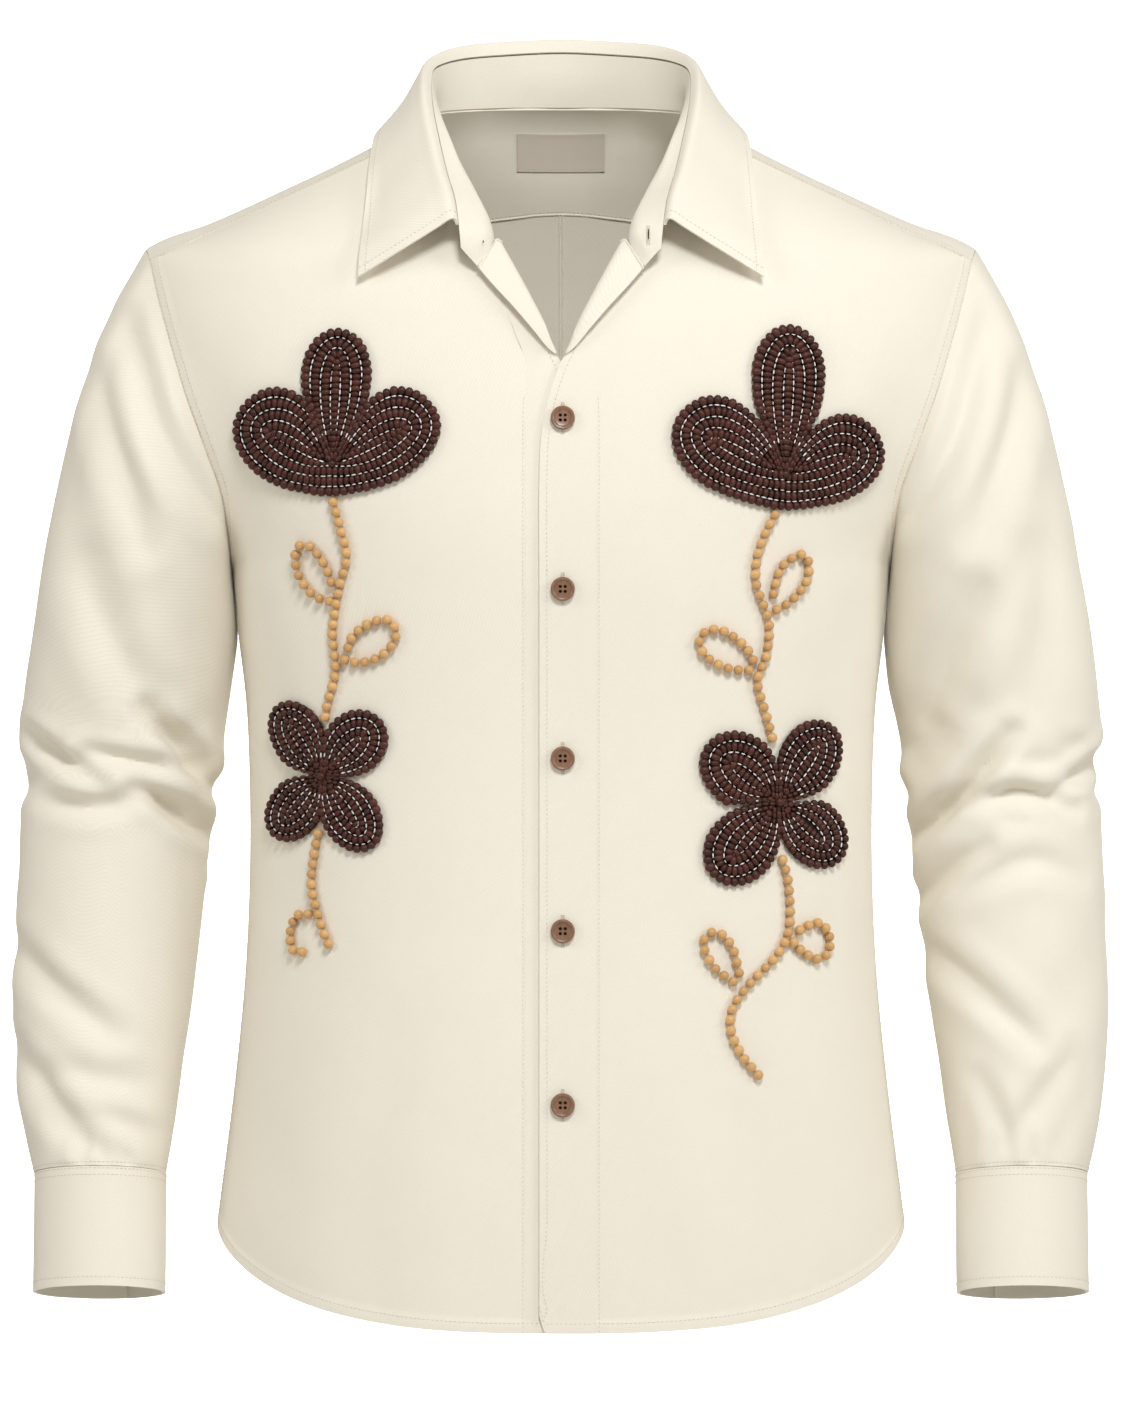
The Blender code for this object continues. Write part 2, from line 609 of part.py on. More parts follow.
def back_grid(torso):
    """Whole back, with columns at both sides of each edge of its box pleat."""
    pleat = np.array([PLEAT_HALF - PLEAT_EDGE, PLEAT_HALF])
    rest = np.linspace(0.12, 1, 8)
    rows = []
    for z_in, z_out in np.array(BACK_ROWS) * MM:
        wide = torso.back_width(z_out)
        side = torso.width(z_out) if z_out <= torso.arm_back[0, 0] else torso.arm_edge(
            torso.arm_back, z_out)[0]
        end = math.asin(min(1, side / wide) ** (FULLNESS / 2))
        near = np.arcsin((pleat / wide) ** (FULLNESS / 2)) / end
        half = np.concatenate([[0], near, rest])
        rows.append(row_points(torso, torso.back, torso.arm_back, 1e-6, z_in, z_out, half))
    right = np.array(rows)
    end_z, end_x, end_y = torso.arm_back[-1]
    centre_z = BACK_ROWS[-1][0] * MM
    top = right[-1]
    top[:, 2] = centre_z + (end_z - centre_z) * (top[:, 0] / end_x) ** 1.6
    top[:, 1] = torso.back(top[:, 0], top[:, 2])
    top[-1] = (end_x, end_y, end_z)
    left = (right * np.array([-1, 1, 1]))[:, :0:-1]
    return np.concatenate([right[:, ::-1], left[:, ::-1]], axis=1)


def pleat_rise(grid):
    """How far the pleat stands out at each point of the back."""
    inside = np.abs(grid[..., 0]) < PLEAT_HALF - PLEAT_EDGE / 2
    top = grid[-1, :, 2].max()
    share = np.clip((grid[..., 2] - PLEAT_END) / (top - PLEAT_END), 0, 1)
    return PLEAT_RISE * inside * share ** 0.7


def hermite(a, lean_a, b, lean_b, v):
    v = v[:, None]
    return ((1 + 2 * v) * (1 - v) ** 2 * a + v * (1 - v) ** 2 * lean_a
            + v ** 2 * (3 - 2 * v) * b - v ** 2 * (1 - v) * lean_b)


def yoke_half(torso, front_top, back_top):
    """Columns of the yoke from the armhole to the centre back, over the shoulder."""
    steps = np.linspace(0, 1, 5)
    neck = path(np.array(NECK_BACK) * MM, 9)
    starts = np.concatenate([front_top[::-1][:-1], neck])
    last = len(back_top) - 1
    steps_back = np.arange(last + 1)
    reach = np.concatenate([np.arange(0, last - 3, 0.5), [last - 3, last - 2.5, last - 2, last - 1, last]])
    reach = np.interp(np.linspace(0, 1, len(starts)), np.linspace(0, 1, len(reach)), reach)
    shoulder = len(front_top) - 1
    columns = []
    for k, a in enumerate(starts):
        b = np.array([np.interp(reach[k], steps_back, back_top[:, axis]) for axis in range(3)])
        chord = np.linalg.norm(b - a)
        over = np.array([0.45 * (k / shoulder) ** 3, 0.90, YOKE_RISE * (1 - 0.55 * k / shoulder)])
        if k >= shoulder:
            before, after = starts[max(k - 1, shoulder)], starts[min(k + 1, len(starts) - 1)]
            outward = np.array([after[1] - before[1], before[0] - after[0], 0])
            outward = outward / np.linalg.norm(outward)
            outward[2] = -SHOULDER_SLOPE * abs(outward[0])
            fade = min(1, (k - shoulder) / 3)
            over = over * (1 - fade) + (0.6 * outward + 0.6 * (b - a) / chord) * fade
            over[2] += 0.04
        down = np.array([0, 0.42, -0.90])
        reach_out = 1.5 - 0.5 * min(1, k / shoulder) ** 2
        columns.append(hermite(a, over * chord * reach_out, b, down * chord * reach_out, steps))
    grid = np.array(columns)
    edge = np.concatenate([grid[0, :1], np.array(SHOULDER_EDGE) * MM, grid[0, -1:]])
    grid[-1, :, 0] = 0
    shift = edge - grid[0]
    for k in range(len(grid)):
        grid[k] += shift * max(0, 1 - k / 6) ** 2
    return grid.transpose(1, 0, 2)


def sleeve_ring(row, angles):
    z, x_in, x_out, y_mid, half_depth, tilt = row
    lean = math.radians(tilt)
    across = (x_out - x_in) / 2 * MM
    x = (x_in + x_out) / 2 * MM + across * np.cos(angles)
    forward = -np.sin(angles) * half_depth * MM
    y = y_mid * MM + forward * math.cos(lean)
    height = z * MM - forward * math.sin(lean)
    return np.stack([x, y, height], axis=1)


def crease(grid, angles, folds):
    """Presses troughs and ridges into a tube of rings."""
    normals = grid_normals(grid, wrap=True)
    degrees = np.degrees(angles) % 360
    height = grid[..., 2] / MM
    push = np.zeros(grid.shape[:2])
    for angle, z, tilt, half_length, half_width, depth in folds:
        away = (degrees - angle + 180) % 360 - 180
        centre = z + tilt * away
        along = np.exp(-(away / half_length) ** 2)[None, :]
        across = np.exp(-((height - centre[None, :]) / half_width) ** 2)
        push += depth * MM * along * across
    return grid - normals * push[..., None]


def sleeve_grid(armhole):
    """Rings from the armhole edge to the cuff seam, for positive x."""
    run = np.linalg.norm(np.roll(armhole, -1, axis=0) - armhole, axis=1)
    top = int(np.argmax(armhole[:, 2]))
    turned = np.concatenate([[0], np.cumsum(run)[:-1]])
    whole = run.sum()
    angles = np.where(np.arange(len(armhole)) <= top, math.pi * (1 - turned / turned[top]),
                      -math.pi * (turned - turned[top]) / (whole - turned[top]))
    start = armhole + np.array([0.96, 0, -0.27]) * SEAM_GAP * 1.1
    target = sleeve_ring(SLEEVE[0], angles)
    after = sleeve_ring(SLEEVE[1], angles)
    outer = (1 + np.cos(angles)) / 2
    lean = np.stack([0.02 + 0.52 * outer ** 0.6, -0.22 * np.sin(angles), -0.86 + 0 * outer], axis=1)
    chord = np.linalg.norm(target - start, axis=1, keepdims=True)
    arrive = (after - target) / np.linalg.norm(after - target, axis=1, keepdims=True)
    rings = []
    for v in np.linspace(0, 1, 8)[:-1]:
        rings.append(hermite(start, lean * chord, target, arrive * chord, np.array([v])))
    for row in SLEEVE:
        rings.append(sleeve_ring(row, angles))
    grid = np.array(rings)[:, ::-1]
    return crease(grid, angles[::-1], SLEEVE_FOLDS)


def cuff_grid():
    """Cuff band wound once round with its ends lapped at the back."""
    lap = math.radians(38)
    begin = math.radians(-113)
    turn = np.linspace(0, 2 * math.pi + lap, 25)
    under = np.clip(1 - turn / (lap * 1.5), 0, 1)
    drop = (CUFF_CLOTH + 1.4 * SEAM_GAP) * np.clip(under * 3, 0, 1)
    rings = []
    for row in CUFF:
        ring = sleeve_ring(row, begin + turn)
        centre = sleeve_ring(row, np.array([0, math.pi])).mean(axis=0)
        out = ring - centre
        out = out / np.linalg.norm(out, axis=1, keepdims=True)
        rings.append(ring - out * drop[:, None])
    return np.array(rings)


def cuff_button_seat():
    """Place and outward direction of the button on the lapped ends of a cuff."""
    row = CUFF[1]
    spot = sleeve_ring(row, np.array([math.radians(-100)]))[0]
    beside = sleeve_ring(row, np.array([math.radians(-104)]))[0]
    above = sleeve_ring(CUFF[0], np.array([math.radians(-100)]))[0]
    out = np.cross(beside - spot, above - spot)
    out = out / np.linalg.norm(out)
    if out[1] < 0:
        out = -out
    return spot + out * SEAM_GAP * 2, out


def strip(stations, parts, across):
    """Grid through stations of several points each, mirrored over the centre back."""
    stations = np.array(stations, float).reshape(len(stations), parts, 3) * MM
    rows = []
    for station in stations:
        rows.append(path(station, across))
    half = np.array(rows)
    other = (half * np.array([-1, 1, 1]))[:0:-1]
    return np.concatenate([other, half]).transpose(1, 0, 2)


def clear_of_chest(torso, grid, near, far):
    """Keeps a collar leaf in front of the chest by a small gap."""
    x = np.abs(grid[..., 0])
    gap = np.interp(x, [0.060, 0.085], [near, far])
    chest = torso.front(x, np.minimum(grid[..., 2], -0.004)) - gap
    ahead = (grid[..., 2] < -0.012) & (grid[..., 1] < -0.030)
    grid[..., 1] = np.where(ahead, np.minimum(grid[..., 1], chest), grid[..., 1])
    return grid


def petal_outline(length, upper, lower, widest, point_up, point_low, count):
    """Teardrop round an axis: points along and across, starting at its base."""
    half = count // 2
    along = (1 - np.cos(np.linspace(0, math.pi, half + 1))) / 2

    def width(f, full, point):
        rising = np.sin(math.pi / 2 * np.clip(f / widest, 0, 1)) ** point
        falling = np.sqrt(np.clip(1 - ((f - widest) / (1 - widest)) ** 2, 0, 1))
        return full * np.where(f < widest, rising, falling)

    up = np.stack([along * length, width(along, upper, point_up)], axis=1)
    low = np.stack([along * length, -width(along, lower, point_low)], axis=1)
    return np.concatenate([up, low[::-1][1:-1]])


def keep_beside(spots, centre, first, last):
    """Keeps a petal between the two lines that part it from its neighbours."""
    for _ in range(12):
        for angle, turn in ((first, 1), (last, -1)):
            line = math.radians(angle)
            inward = np.array([-math.sin(line), math.cos(line)]) * turn
            short = SEAM_GAP * 0.7 - (spots - centre) @ inward
            spots = spots + np.maximum(short, 0)[:, None] * inward
    return spots


def on_front(skin, spots, height, around=0.0):
    """Points at a height in front of the highest cloth round each spot in x and z."""
    found = []
    for x, z in spots:
        beside = ((0, 0), (around, 0), (-around, 0), (0, around), (0, -around))
        hits = [skin.ray_cast(Vector((x + a, -0.3, z + b)), Vector((0, 1, 0)))[0] for a, b in beside]
        found.append((x, min(hit.y for hit in hits if hit) - height, z))
    return np.array(found)


def petal(skin, name, centre, first, last, row, finish):
    """Raised petal of nested bead rows over a plain underside."""
    direction, length, upper, lower, widest, point_up, point_low = row
    outline = petal_outline(length, upper, lower, widest, point_up, point_low, PETAL_AROUND) * MM
    angle = math.radians(direction)
    axis = np.array([math.cos(angle), math.sin(angle)])
    turn = np.array([axis, (-axis[1], axis[0])])
    outline = keep_beside(centre + outline @ turn, centre, first, last)
    heart = centre + axis * length * (widest - 0.02) * MM
    bead = DARK_BEAD / (min(upper, lower) * MM)
    profile = ((0.5, PETAL_LIFT), (1.0, PETAL_LIFT), (1 - bead * 0.3, BEAD_TOP),
               (1 - bead, BEAD_VALLEY), (1 - bead * 1.5, BEAD_TOP), (1 - bead * 2.1, BEAD_VALLEY))
    count = len(outline)
    rings = [on_front(skin, heart + (outline - heart) * share, lift, PETAL_REACH)
             for share, lift in profile]
    middle = [on_front(skin, heart[None, :], lift, PETAL_REACH) for lift in (BEAD_TOP, PETAL_LIFT)]
    verts = np.concatenate(rings + middle)
    top, under = len(rings) * count, len(rings) * count + 1
    faces = []
    for k in range(len(rings) - 1):
        for j in range(count):
            i = (j + 1) % count
            faces.append((k * count + j, k * count + i, (k + 1) * count + i, (k + 1) * count + j))
    for j in range(count):
        i = (j + 1) % count
        faces.append(((len(rings) - 1) * count + j, (len(rings) - 1) * count + i, top))
        faces.append((i, j, under))
    return add_object(name, verts, faces, finish)


def bead_string(skin, name, points, finish):
    """Row of beads on the front, each a swelling of a half-round string."""
    line = np.array(points) * MM
    rough = path(line, 40)
    length = np.linalg.norm(np.diff(rough, axis=0), axis=1).sum()
    beads = max(3, int(round(length / TAN_BEAD)))
    spots = path(line, 2 * beads + 1)
    toward = np.gradient(spots, axis=0)
    toward = toward / np.linalg.norm(toward, axis=1, keepdims=True)
    side = np.stack([toward[:, 1], -toward[:, 0]], axis=1)
    radius = np.where(np.arange(len(spots)) % 2 == 1, TAN_BEAD / 2, TAN_BEAD * 0.27)
    rings = []
    for across, height in ((-1, 0), (0, STRING_TOP), (1, 0)):
        beside = spots + side * (across * radius)[:, None]
        ring = on_front(skin, beside, SEAM_GAP * 1.3, STRING_REACH)
        ring[:, 1] -= height * radius
        rings.append(ring)
    grid = np.array(rings).transpose(1, 0, 2)
    count, around = grid.shape[:2]
    faces = []
    for k in range(count - 1):
        for j in range(around):
            i = (j + 1) % around
            faces.append((k * around + j, (k + 1) * around + j, (k + 1) * around + i, k * around + i))
    faces.append(tuple(range(around)))
    faces.append(tuple(reversed(range((count - 1) * around, count * around))))
    return add_object(name, grid.reshape(-1, 3), faces, finish)


def button(name, centre, facing, finish):
    """Turned button with a rim and four holes, lying on its band."""
    around = BUTTON_AROUND
    verts = [(0, 0, 0)]
    for radius, height in BUTTON_PROFILE:
        for k in range(around):
            turn = 2 * math.pi * k / around
            verts.append((radius * MM * math.cos(turn), radius * MM * math.sin(turn), height * MM))
    verts.append((0, 0, BUTTON_PROFILE[-1][1] * MM))
    faces = []
    rings = len(BUTTON_PROFILE)
    for k in range(around):
        i = (k + 1) % around
        faces.append((0, 1 + i, 1 + k))
        for ring in range(rings - 1):
            a, b = 1 + ring * around, 1 + (ring + 1) * around
            faces.append((a + k, a + i, b + i, b + k))
        last = 1 + (rings - 1) * around
        faces.append((last + k, last + i, len(verts) - 1))
    made = add_object(name, verts, faces, finish)
    for k in range(4):
        turn = math.pi / 4 + k * math.pi / 2
        spot = (HOLE_OFFSET * math.cos(turn), HOLE_OFFSET * math.sin(turn), 0)
        bpy.ops.mesh.primitive_cylinder_add(vertices=6, radius=HOLE_RADIUS, depth=8 * MM, location=spot)
        cutter = bpy.context.object
        cutter.name = f"{name}_hole_{k + 1}"
        cutter.hide_render = True
        cutter.display_type = "WIRE"
        cutter.parent = made
        cut = made.modifiers.new(f"hole_{k + 1}", "BOOLEAN")
        cut.object = cutter
    made.location = centre
    made.rotation_euler = Vector(facing).to_track_quat("Z", "Y").to_euler()
    return made


def label(yoke_inside, finish):
    """Woven label lying against the inside of the yoke at the centre back."""
    half_width, top, bottom = (value * MM for value in LABEL)
    rows = []
    for z in np.linspace(bottom, top, 4):
        row = []
        for x in np.linspace(-half_width, half_width, 9):
            hit = yoke_inside.ray_cast(Vector((x, 0.02, z)), Vector((0, 1, 0)))[0]
            row.append((x, hit.y - SEAM_GAP, z))
        rows.append(row)
    outer = np.array(rows)
    verts, faces = wall(outer, outer - np.array([0, LABEL_TAPE, 0]))
    return add_object("label", verts, faces, finish)


def skin_of(verts, faces):
    return BVHTree.FromPolygons([tuple(v) for v in verts], faces)


def build():
    for old in list(bpy.data.objects):
        bpy.data.objects.remove(old, do_unlink=True)
    cloth = material("cream_twill", SHIRT)
    dark = material("dark_bead", BROWN, 0.4)
    tan = material("tan_bead", TAN, 0.4)
    horn = material("brown_button", HORN, 0.35)
    tape = material("label_tape", TAUPE)
    torso = Torso()

    front = front_grid(torso)
    back = back_grid(torso)
    half = back.shape[1] // 2
    yoke = yoke_half(torso, front[-1], back[-1, :half + 1])

    underarm = next(k for k, row in enumerate(FRONT_ROWS) if row[1] == -262)
    back_underarm = next(k for k, row in enumerate(BACK_ROWS) if row[1] == -262)
    armhole = np.concatenate([front[underarm:, -1], yoke[1:-1, 0], back[:back_underarm:-1, 0]])
    whole_yoke = np.concatenate([yoke, mirrored(yoke)[:, 1:]], axis=1)[:, ::-1]
    panels = {"back": (pull_in(back), False), "yoke": (pull_in(whole_yoke, gap=SEAM_GAP), False)}
    sleeve = sleeve_grid(armhole)
    for side, word in ((1, "left"), (-1, "right")):
        turn = (lambda grid: grid) if side > 0 else mirrored
        panels[f"front_{word}"] = (turn(pull_in(lap_drop(front, side))), False)
        panels[f"front_band_{word}"] = (turn(pull_in(band_grid(torso, side)[:, ::-1])), False)
        panels[f"sleeve_{word}"] = (turn(sleeve), True)
    normals = seam_normals(panels)
    for word in ("left", "right"):
        name = f"front_band_{word}"
        normals[name] = turn_at_v(panels[name][0], normals[name])
    skins = {}
    for name, (grid, wrap) in panels.items():
        thickness = DOUBLE_CLOTH if "band" in name else CLOTH
        outer = grid
        if name == "back":
            outer = grid + normals[name] * pleat_rise(grid)[..., None]
        verts, faces = wall(outer, grid - normals[name] * thickness, wrap)
        add_object(name, verts, faces, cloth)
        skins[name] = skin_of(verts, faces)
    label(skins["yoke"], tape)

    cuff = cuff_grid()
    spot, out = cuff_button_seat()
    for side, word in ((1, "left"), (-1, "right")):
        grid = cuff if side > 0 else mirrored(cuff)
        verts, faces = wall(grid, grid - grid_normals(grid) * CUFF_CLOTH)
        add_object(f"cuff_{word}", verts, faces, cloth)
        flip = np.array([side, 1, 1])
        button(f"cuff_button_{word}", spot * flip, out * flip, horn)

    stand = strip(STAND, 3, 6)
    leaf = strip(LEAF, 4, 8)
    leaf = clear_of_chest(torso, leaf, 0.0085, 0.0045)
    extra = (stand.shape[1] - leaf.shape[1]) // 2
    lean = (stand[-1] - stand[-2])[extra:-extra]
    lean = lean / np.linalg.norm(lean, axis=1, keepdims=True)
    leaf[0] = stand[-1, extra:-extra] + lean * SEAM_GAP * 3
    for name, grid in (("collar_stand", stand), ("collar", leaf)):
        lift = grid_normals(grid) * DOUBLE_CLOTH / 2
        verts, faces = wall(grid + lift, grid - lift)
        add_object(name, verts, faces, cloth)

    for flower, (centre, splits, rows) in FLOWERS.items():
        skin = skins["front_" + flower.split("_")[1]]
        for k, row in enumerate(rows):
            first = splits[k - 1] if len(rows) == 4 else splits[(k, 1, 2)[k]]
            last = splits[k] if len(rows) == 4 else splits[(1, 2, 0)[k]]
            petal(skin, f"{flower}_petal_{k + 1}", np.array(centre) * MM, first, last, row, dark)
    for name, points in VINES.items():
        bead_string(skins["front_" + name.split("_")[1]], name, points, tan)
    for k, height in enumerate(BUTTON_HEIGHTS):
        spots = [(BUTTON_X, (height + s) * MM) for s in (6, -6)]
        above, below = on_front(skins["front_band_left"], spots, SEAM_GAP * 1.3)
        lean = above - below
        facing = (0, -lean[2], lean[1])
        button(f"button_{k + 1}", (above + below) / 2, facing, horn)


build()
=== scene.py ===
"""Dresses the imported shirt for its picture: fine cloth over every panel, sewing, beads, buttons.

Every piece is worked out from the same tables as the solids, in the same frame: +X to the
viewer's right, the front faces -Y, +Z up, the origin between the shoulders at the base of the
neck. Tables are in millimetres, everything after them is in metres.
"""

import logging
import math
from dataclasses import dataclass
from enum import Enum
from typing import Callable, Sequence

import bmesh
import bpy
import numpy as np
from mathutils import Matrix, Vector
from mathutils.bvhtree import BVHTree

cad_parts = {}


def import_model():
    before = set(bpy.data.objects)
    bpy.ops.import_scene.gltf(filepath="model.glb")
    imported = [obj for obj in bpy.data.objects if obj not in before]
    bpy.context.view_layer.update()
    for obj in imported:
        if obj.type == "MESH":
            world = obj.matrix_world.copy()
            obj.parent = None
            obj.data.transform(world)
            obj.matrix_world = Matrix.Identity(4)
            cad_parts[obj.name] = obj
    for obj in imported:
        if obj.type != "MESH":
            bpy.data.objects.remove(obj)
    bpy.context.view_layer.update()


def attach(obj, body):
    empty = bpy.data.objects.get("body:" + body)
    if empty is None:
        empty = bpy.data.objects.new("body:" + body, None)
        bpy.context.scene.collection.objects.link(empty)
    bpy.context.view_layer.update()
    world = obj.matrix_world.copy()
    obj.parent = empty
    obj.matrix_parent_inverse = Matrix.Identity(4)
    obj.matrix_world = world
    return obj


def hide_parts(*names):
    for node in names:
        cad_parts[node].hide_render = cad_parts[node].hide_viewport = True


LOG = logging.getLogger("shirt")
MM = 0.001

# Cloth and seams, as in the solids
CLOTH = 1.2 * MM
DOUBLE_CLOTH = 1.6 * MM
CUFF_CLOTH = 2.0 * MM
SEAM_GAP = 0.3 * MM
TOUCH = 0.02 * MM
SEAM_REACH = 6.0 * MM
FULLNESS = 2.7
PLEAT_HALF = 17.0 * MM
PLEAT_EDGE = 1.0 * MM
PLEAT_RISE = 1.6 * MM
PLEAT_END = -420.0 * MM
LAP_DROP = 2.2 * MM
LAP_REACH = 30.0 * MM
LAP_TOP = -128.0 * MM
LAP_FADE = 14.8 * MM
ROLL_RADIUS = 2.3 * MM
ROLL_START = 7.0 * MM
TURNED_RISE = 0.02
CORNER_RISE = 11.0 * MM
BUTTON_HEIGHTS = (-177.5, -275.5, -373.0, -472.5, -572.5)
BUTTON_X = 1.0 * MM
LABEL = (26.5, 3.6, -18.6)
LABEL_TAPE = 0.6 * MM

# Torso sections from hem to underarm: height, half width, front depth, back depth
TORSO = (
    (-706, 206.0, 118.0, 116.5),
    (-655, 204.0, 118.0, 115.0),
    (-607, 198.0, 117.0, 112.0),
    (-547, 191.0, 115.0, 107.0),
    (-488, 186.0, 113.0, 103.0),
    (-428, 184.0, 112.0, 100.5),
    (-369, 184.5, 113.0, 100.5),
    (-324, 188.0, 116.0, 102.5),
    (-285, 193.0, 120.0, 105.0),
    (-262, 195.0, 122.0, 106.5),
)
# Depth of the chest and back above the underarm: height, front depth, back depth
UPPER = (
    (-242, 123.0, 107.5),
    (-216, 122.7, 108.0),
    (-194, 121.5, 107.5),
    (-167, 118.5, 106.0),
    (-137, 113.5, 103.5),
    (-104, 104.0, 99.0),
    (-81, 95.0, 95.0),
    (-62, 87.0, 90.5),
    (-44, 76.5, 85.0),
    (-22, 61.5, 75.0),
    (-4, 48.0, 66.0),
)
# Armhole edge of the fronts, from underarm to front yoke seam: height, half width, depth
ARM_FRONT = (
    (-262, 195.0, 0.0),
    (-254, 195.3, 16.0),
    (-240, 196.0, 33.0),
    (-216, 199.2, 52.0),
    (-194, 206.9, 60.5),
    (-167, 217.4, 61.5),
    (-137, 226.7, 55.0),
    (-104, 236.3, 43.0),
    (-81, 242.0, 30.0),
)
# Front yoke seam inside the armhole: height, half width, depth
YOKE_FRONT = (
    (-62.5, 202.0, 32.5),
    (-42.5, 160.0, 34.5),
    (-22.5, 118.0, 36.0),
    (-4, 78.5, 39.0),
)
# Armhole edge of the back, from underarm to back yoke seam: height, half width, depth
ARM_BACK = (
    (-262, 195.0, 0.0),
    (-254, 195.3, 17.0),
    (-240, 196.5, 34.0),
    (-212, 202.0, 50.0),
    (-182, 212.0, 56.0),
    (-150, 223.5, 55.5),
    (-122, 233.0, 48.5),
    (-100, 239.5, 41.0),
)
# Back yoke seam inside the armhole: height, half width, depth
YOKE_BACK = (
    (-86, 210.0, 54.0),
    (-72, 170.0, 66.0),
    (-58, 120.0, 76.0),
    (-47.5, 60.0, 83.0),
    (-44, 45.0, 84.0),
)
# Shoulder point of the yoke between the two armhole seams: half width, depth, height
SHOULDER_EDGE = ((245.3, -15.0, -74.0), (246.6, 1.0, -71.5), (244.6, 20.0, -81.0))
# Rows of a front: height at the band, height at the side
FRONT_ROWS = (
    (-703.7, -648.8), (-675, -624), (-636, -592), (-588, -552), (-528, -499), (-464, -441),
    (-404, -388), (-352, -340), (-309, -300), (-268, -262), (-257, -254), (-240, -240),
    (-214, -216), (-180, -190), (-142.8, -160), (-114, -132), (-85, -106), (-57.5, -92),
    (-4, -81),
)
# Rows of the back: height at the centre, height at the side
BACK_ROWS = (
    (-701, -648.8), (-670, -624), (-630, -592), (-580, -552), (-520, -499), (-455, -441),
    (-395, -388),
    (-343, -340), (-300, -300), (-262, -262), (-252, -254), (-235, -240), (-202, -212),
    (-166, -182), (-122, -150), (-82, -122), (-44, -100),
)
# Neckline on the fronts below the yoke seam: height, half width
NECK_FRONT = ((-57.5, 53.5), (-44, 61.0), (-31, 68.0), (-16, 74.5), (-4, 78.5))
# Neckline behind the front yoke seam to the centre back: half width, depth, height
NECK_BACK = (
    (78.5, -39, -4), (79.2, -20, 3), (77, 0, 8.5), (70.5, 20, 12.5),
    (56, 39, 15.5), (32, 53.5, 17.8), (0, 60, 18.5),
)
# The band above the V: seam x z, roll x z, free edge x z
BAND_TURN = (
    (25.4, -130.5, 6.9, -134.5, 7.9, -136.5),
    (30.6, -117.0, 12.0, -123.0, 16.5, -126.0),
    (37.9, -98.0, 19.5, -108.0, 28.0, -112.5),
    (45.6, -78.0, 28.5, -90.5, 38.5, -101.0),
    (53.5, -57.5, 37.5, -73.5, 47.8, -90.0),
)
# Free edge of the upper front below the V: heights in metres, edge x in millimetres
BAND_EDGE_CURVE = ((-0.20, -0.1917, -0.176, -0.165, -0.155, -0.1428),
                   (-12.5, -11.8, -9.8, -7.1, -4.0, 1.1))
BAND_SEAM = 20.7 * MM     # where a front meets its band, from the centre line
V_BOTTOM = -142.8 * MM
BAND_ROWS = (-703.9, -690, -636, -588, -528, -464, -404, -352, -309, -268, -214, -192, -176, -165,
             -154, -142.8)
# Collar stand: base x y z, middle x y z, top x y z, from the centre back to the turned end
STAND = (
    (0, 60, 18.9, 0, 58.0, 35.0, 0, 57.0, 51.0),
    (32, 53.5, 18.2, 32, 51.8, 33.5, 32, 51.0, 49.0),
    (56, 39, 15.9, 56, 38.0, 30.5, 56.5, 37.5, 45.5),
    (70.5, 20, 12.9, 69.5, 20.0, 26.5, 70, 20.0, 40.5),
    (77.0, 0, 8.9, 74.5, -0.5, 21.5, 76, 0, 34.0),
    (78.6, -20, 3.4, 74.0, -22.0, 13.5, 77, -20, 24.0),
    (77.6, -39, -3.4, 70.8, -43.0, 2.5, 75.5, -41, 9.5),
    (70.6, -60, -22.6, 61.5, -66.0, -19.0, 71, -64, -12.5),
    (60.0, -76, -44.0, 51.0, -82.0, -42.5, 66.0, -83, -34.0),
    (46.5, -87.4, -63.6, 41.0, -93.8, -62.0, 60.8, -98.6, -53.0),
    (39.4, -94.0, -72.0, 43.0, -101.8, -69.4, 59.0, -103.6, -65.5),
    (48.4, -103.6, -89.0, 53.0, -104.6, -84.0, 58.0, -105.0, -78.5),
)
# Collar leaf: seam x y z, fold x y z, middle x y z, edge x y z, at the stand's stations
LEAF = (
    (0, 57.2, 51.5, 0, 62.0, 60.0, 0, 68.5, 38.0, 0, 73.0, 12.0),
    (32, 51.3, 49.6, 35, 55.5, 58.0, 40, 62.5, 37.0, 45, 67.0, 10.5),
    (56.5, 37.8, 46.1, 59, 41.0, 53.5, 67, 47.0, 33.0, 74, 52.0, 8.0),
    (70, 20.3, 41.1, 73.5, 22.0, 47.0, 83.5, 25.0, 26.0, 95, 27.0, 5.0),
    (76, 0.2, 34.6, 80.5, 0.5, 38.5, 92.5, 0, 18.0, 106, 0, 0.5),
    (77, -20, 24.6, 81.5, -20, 28.5, 95.5, -22, 8.0, 110, -24, -7.0),
    (75.5, -41, 10.1, 80.0, -42, 14.0, 96.0, -44, -6.0, 112, -46, -24.0),
    (71, -64.2, -12.0, 75.0, -65.5, -8.0, 94.0, -68, -29.0, 113.5, -68, -48.0),
    (66.0, -83.4, -33.4, 69.0, -86, -29.5, 92.0, -88, -50.0, 115, -86, -68.0),
    (61.0, -98.0, -52.4, 63.0, -101.5, -48.5, 90.0, -102, -68.0, 116.5, -98, -84.0),
    (59.0, -104.6, -64.6, 60.0, -107, -60.5, 89.0, -106, -78.0, 117, -101.5, -95.0),
)
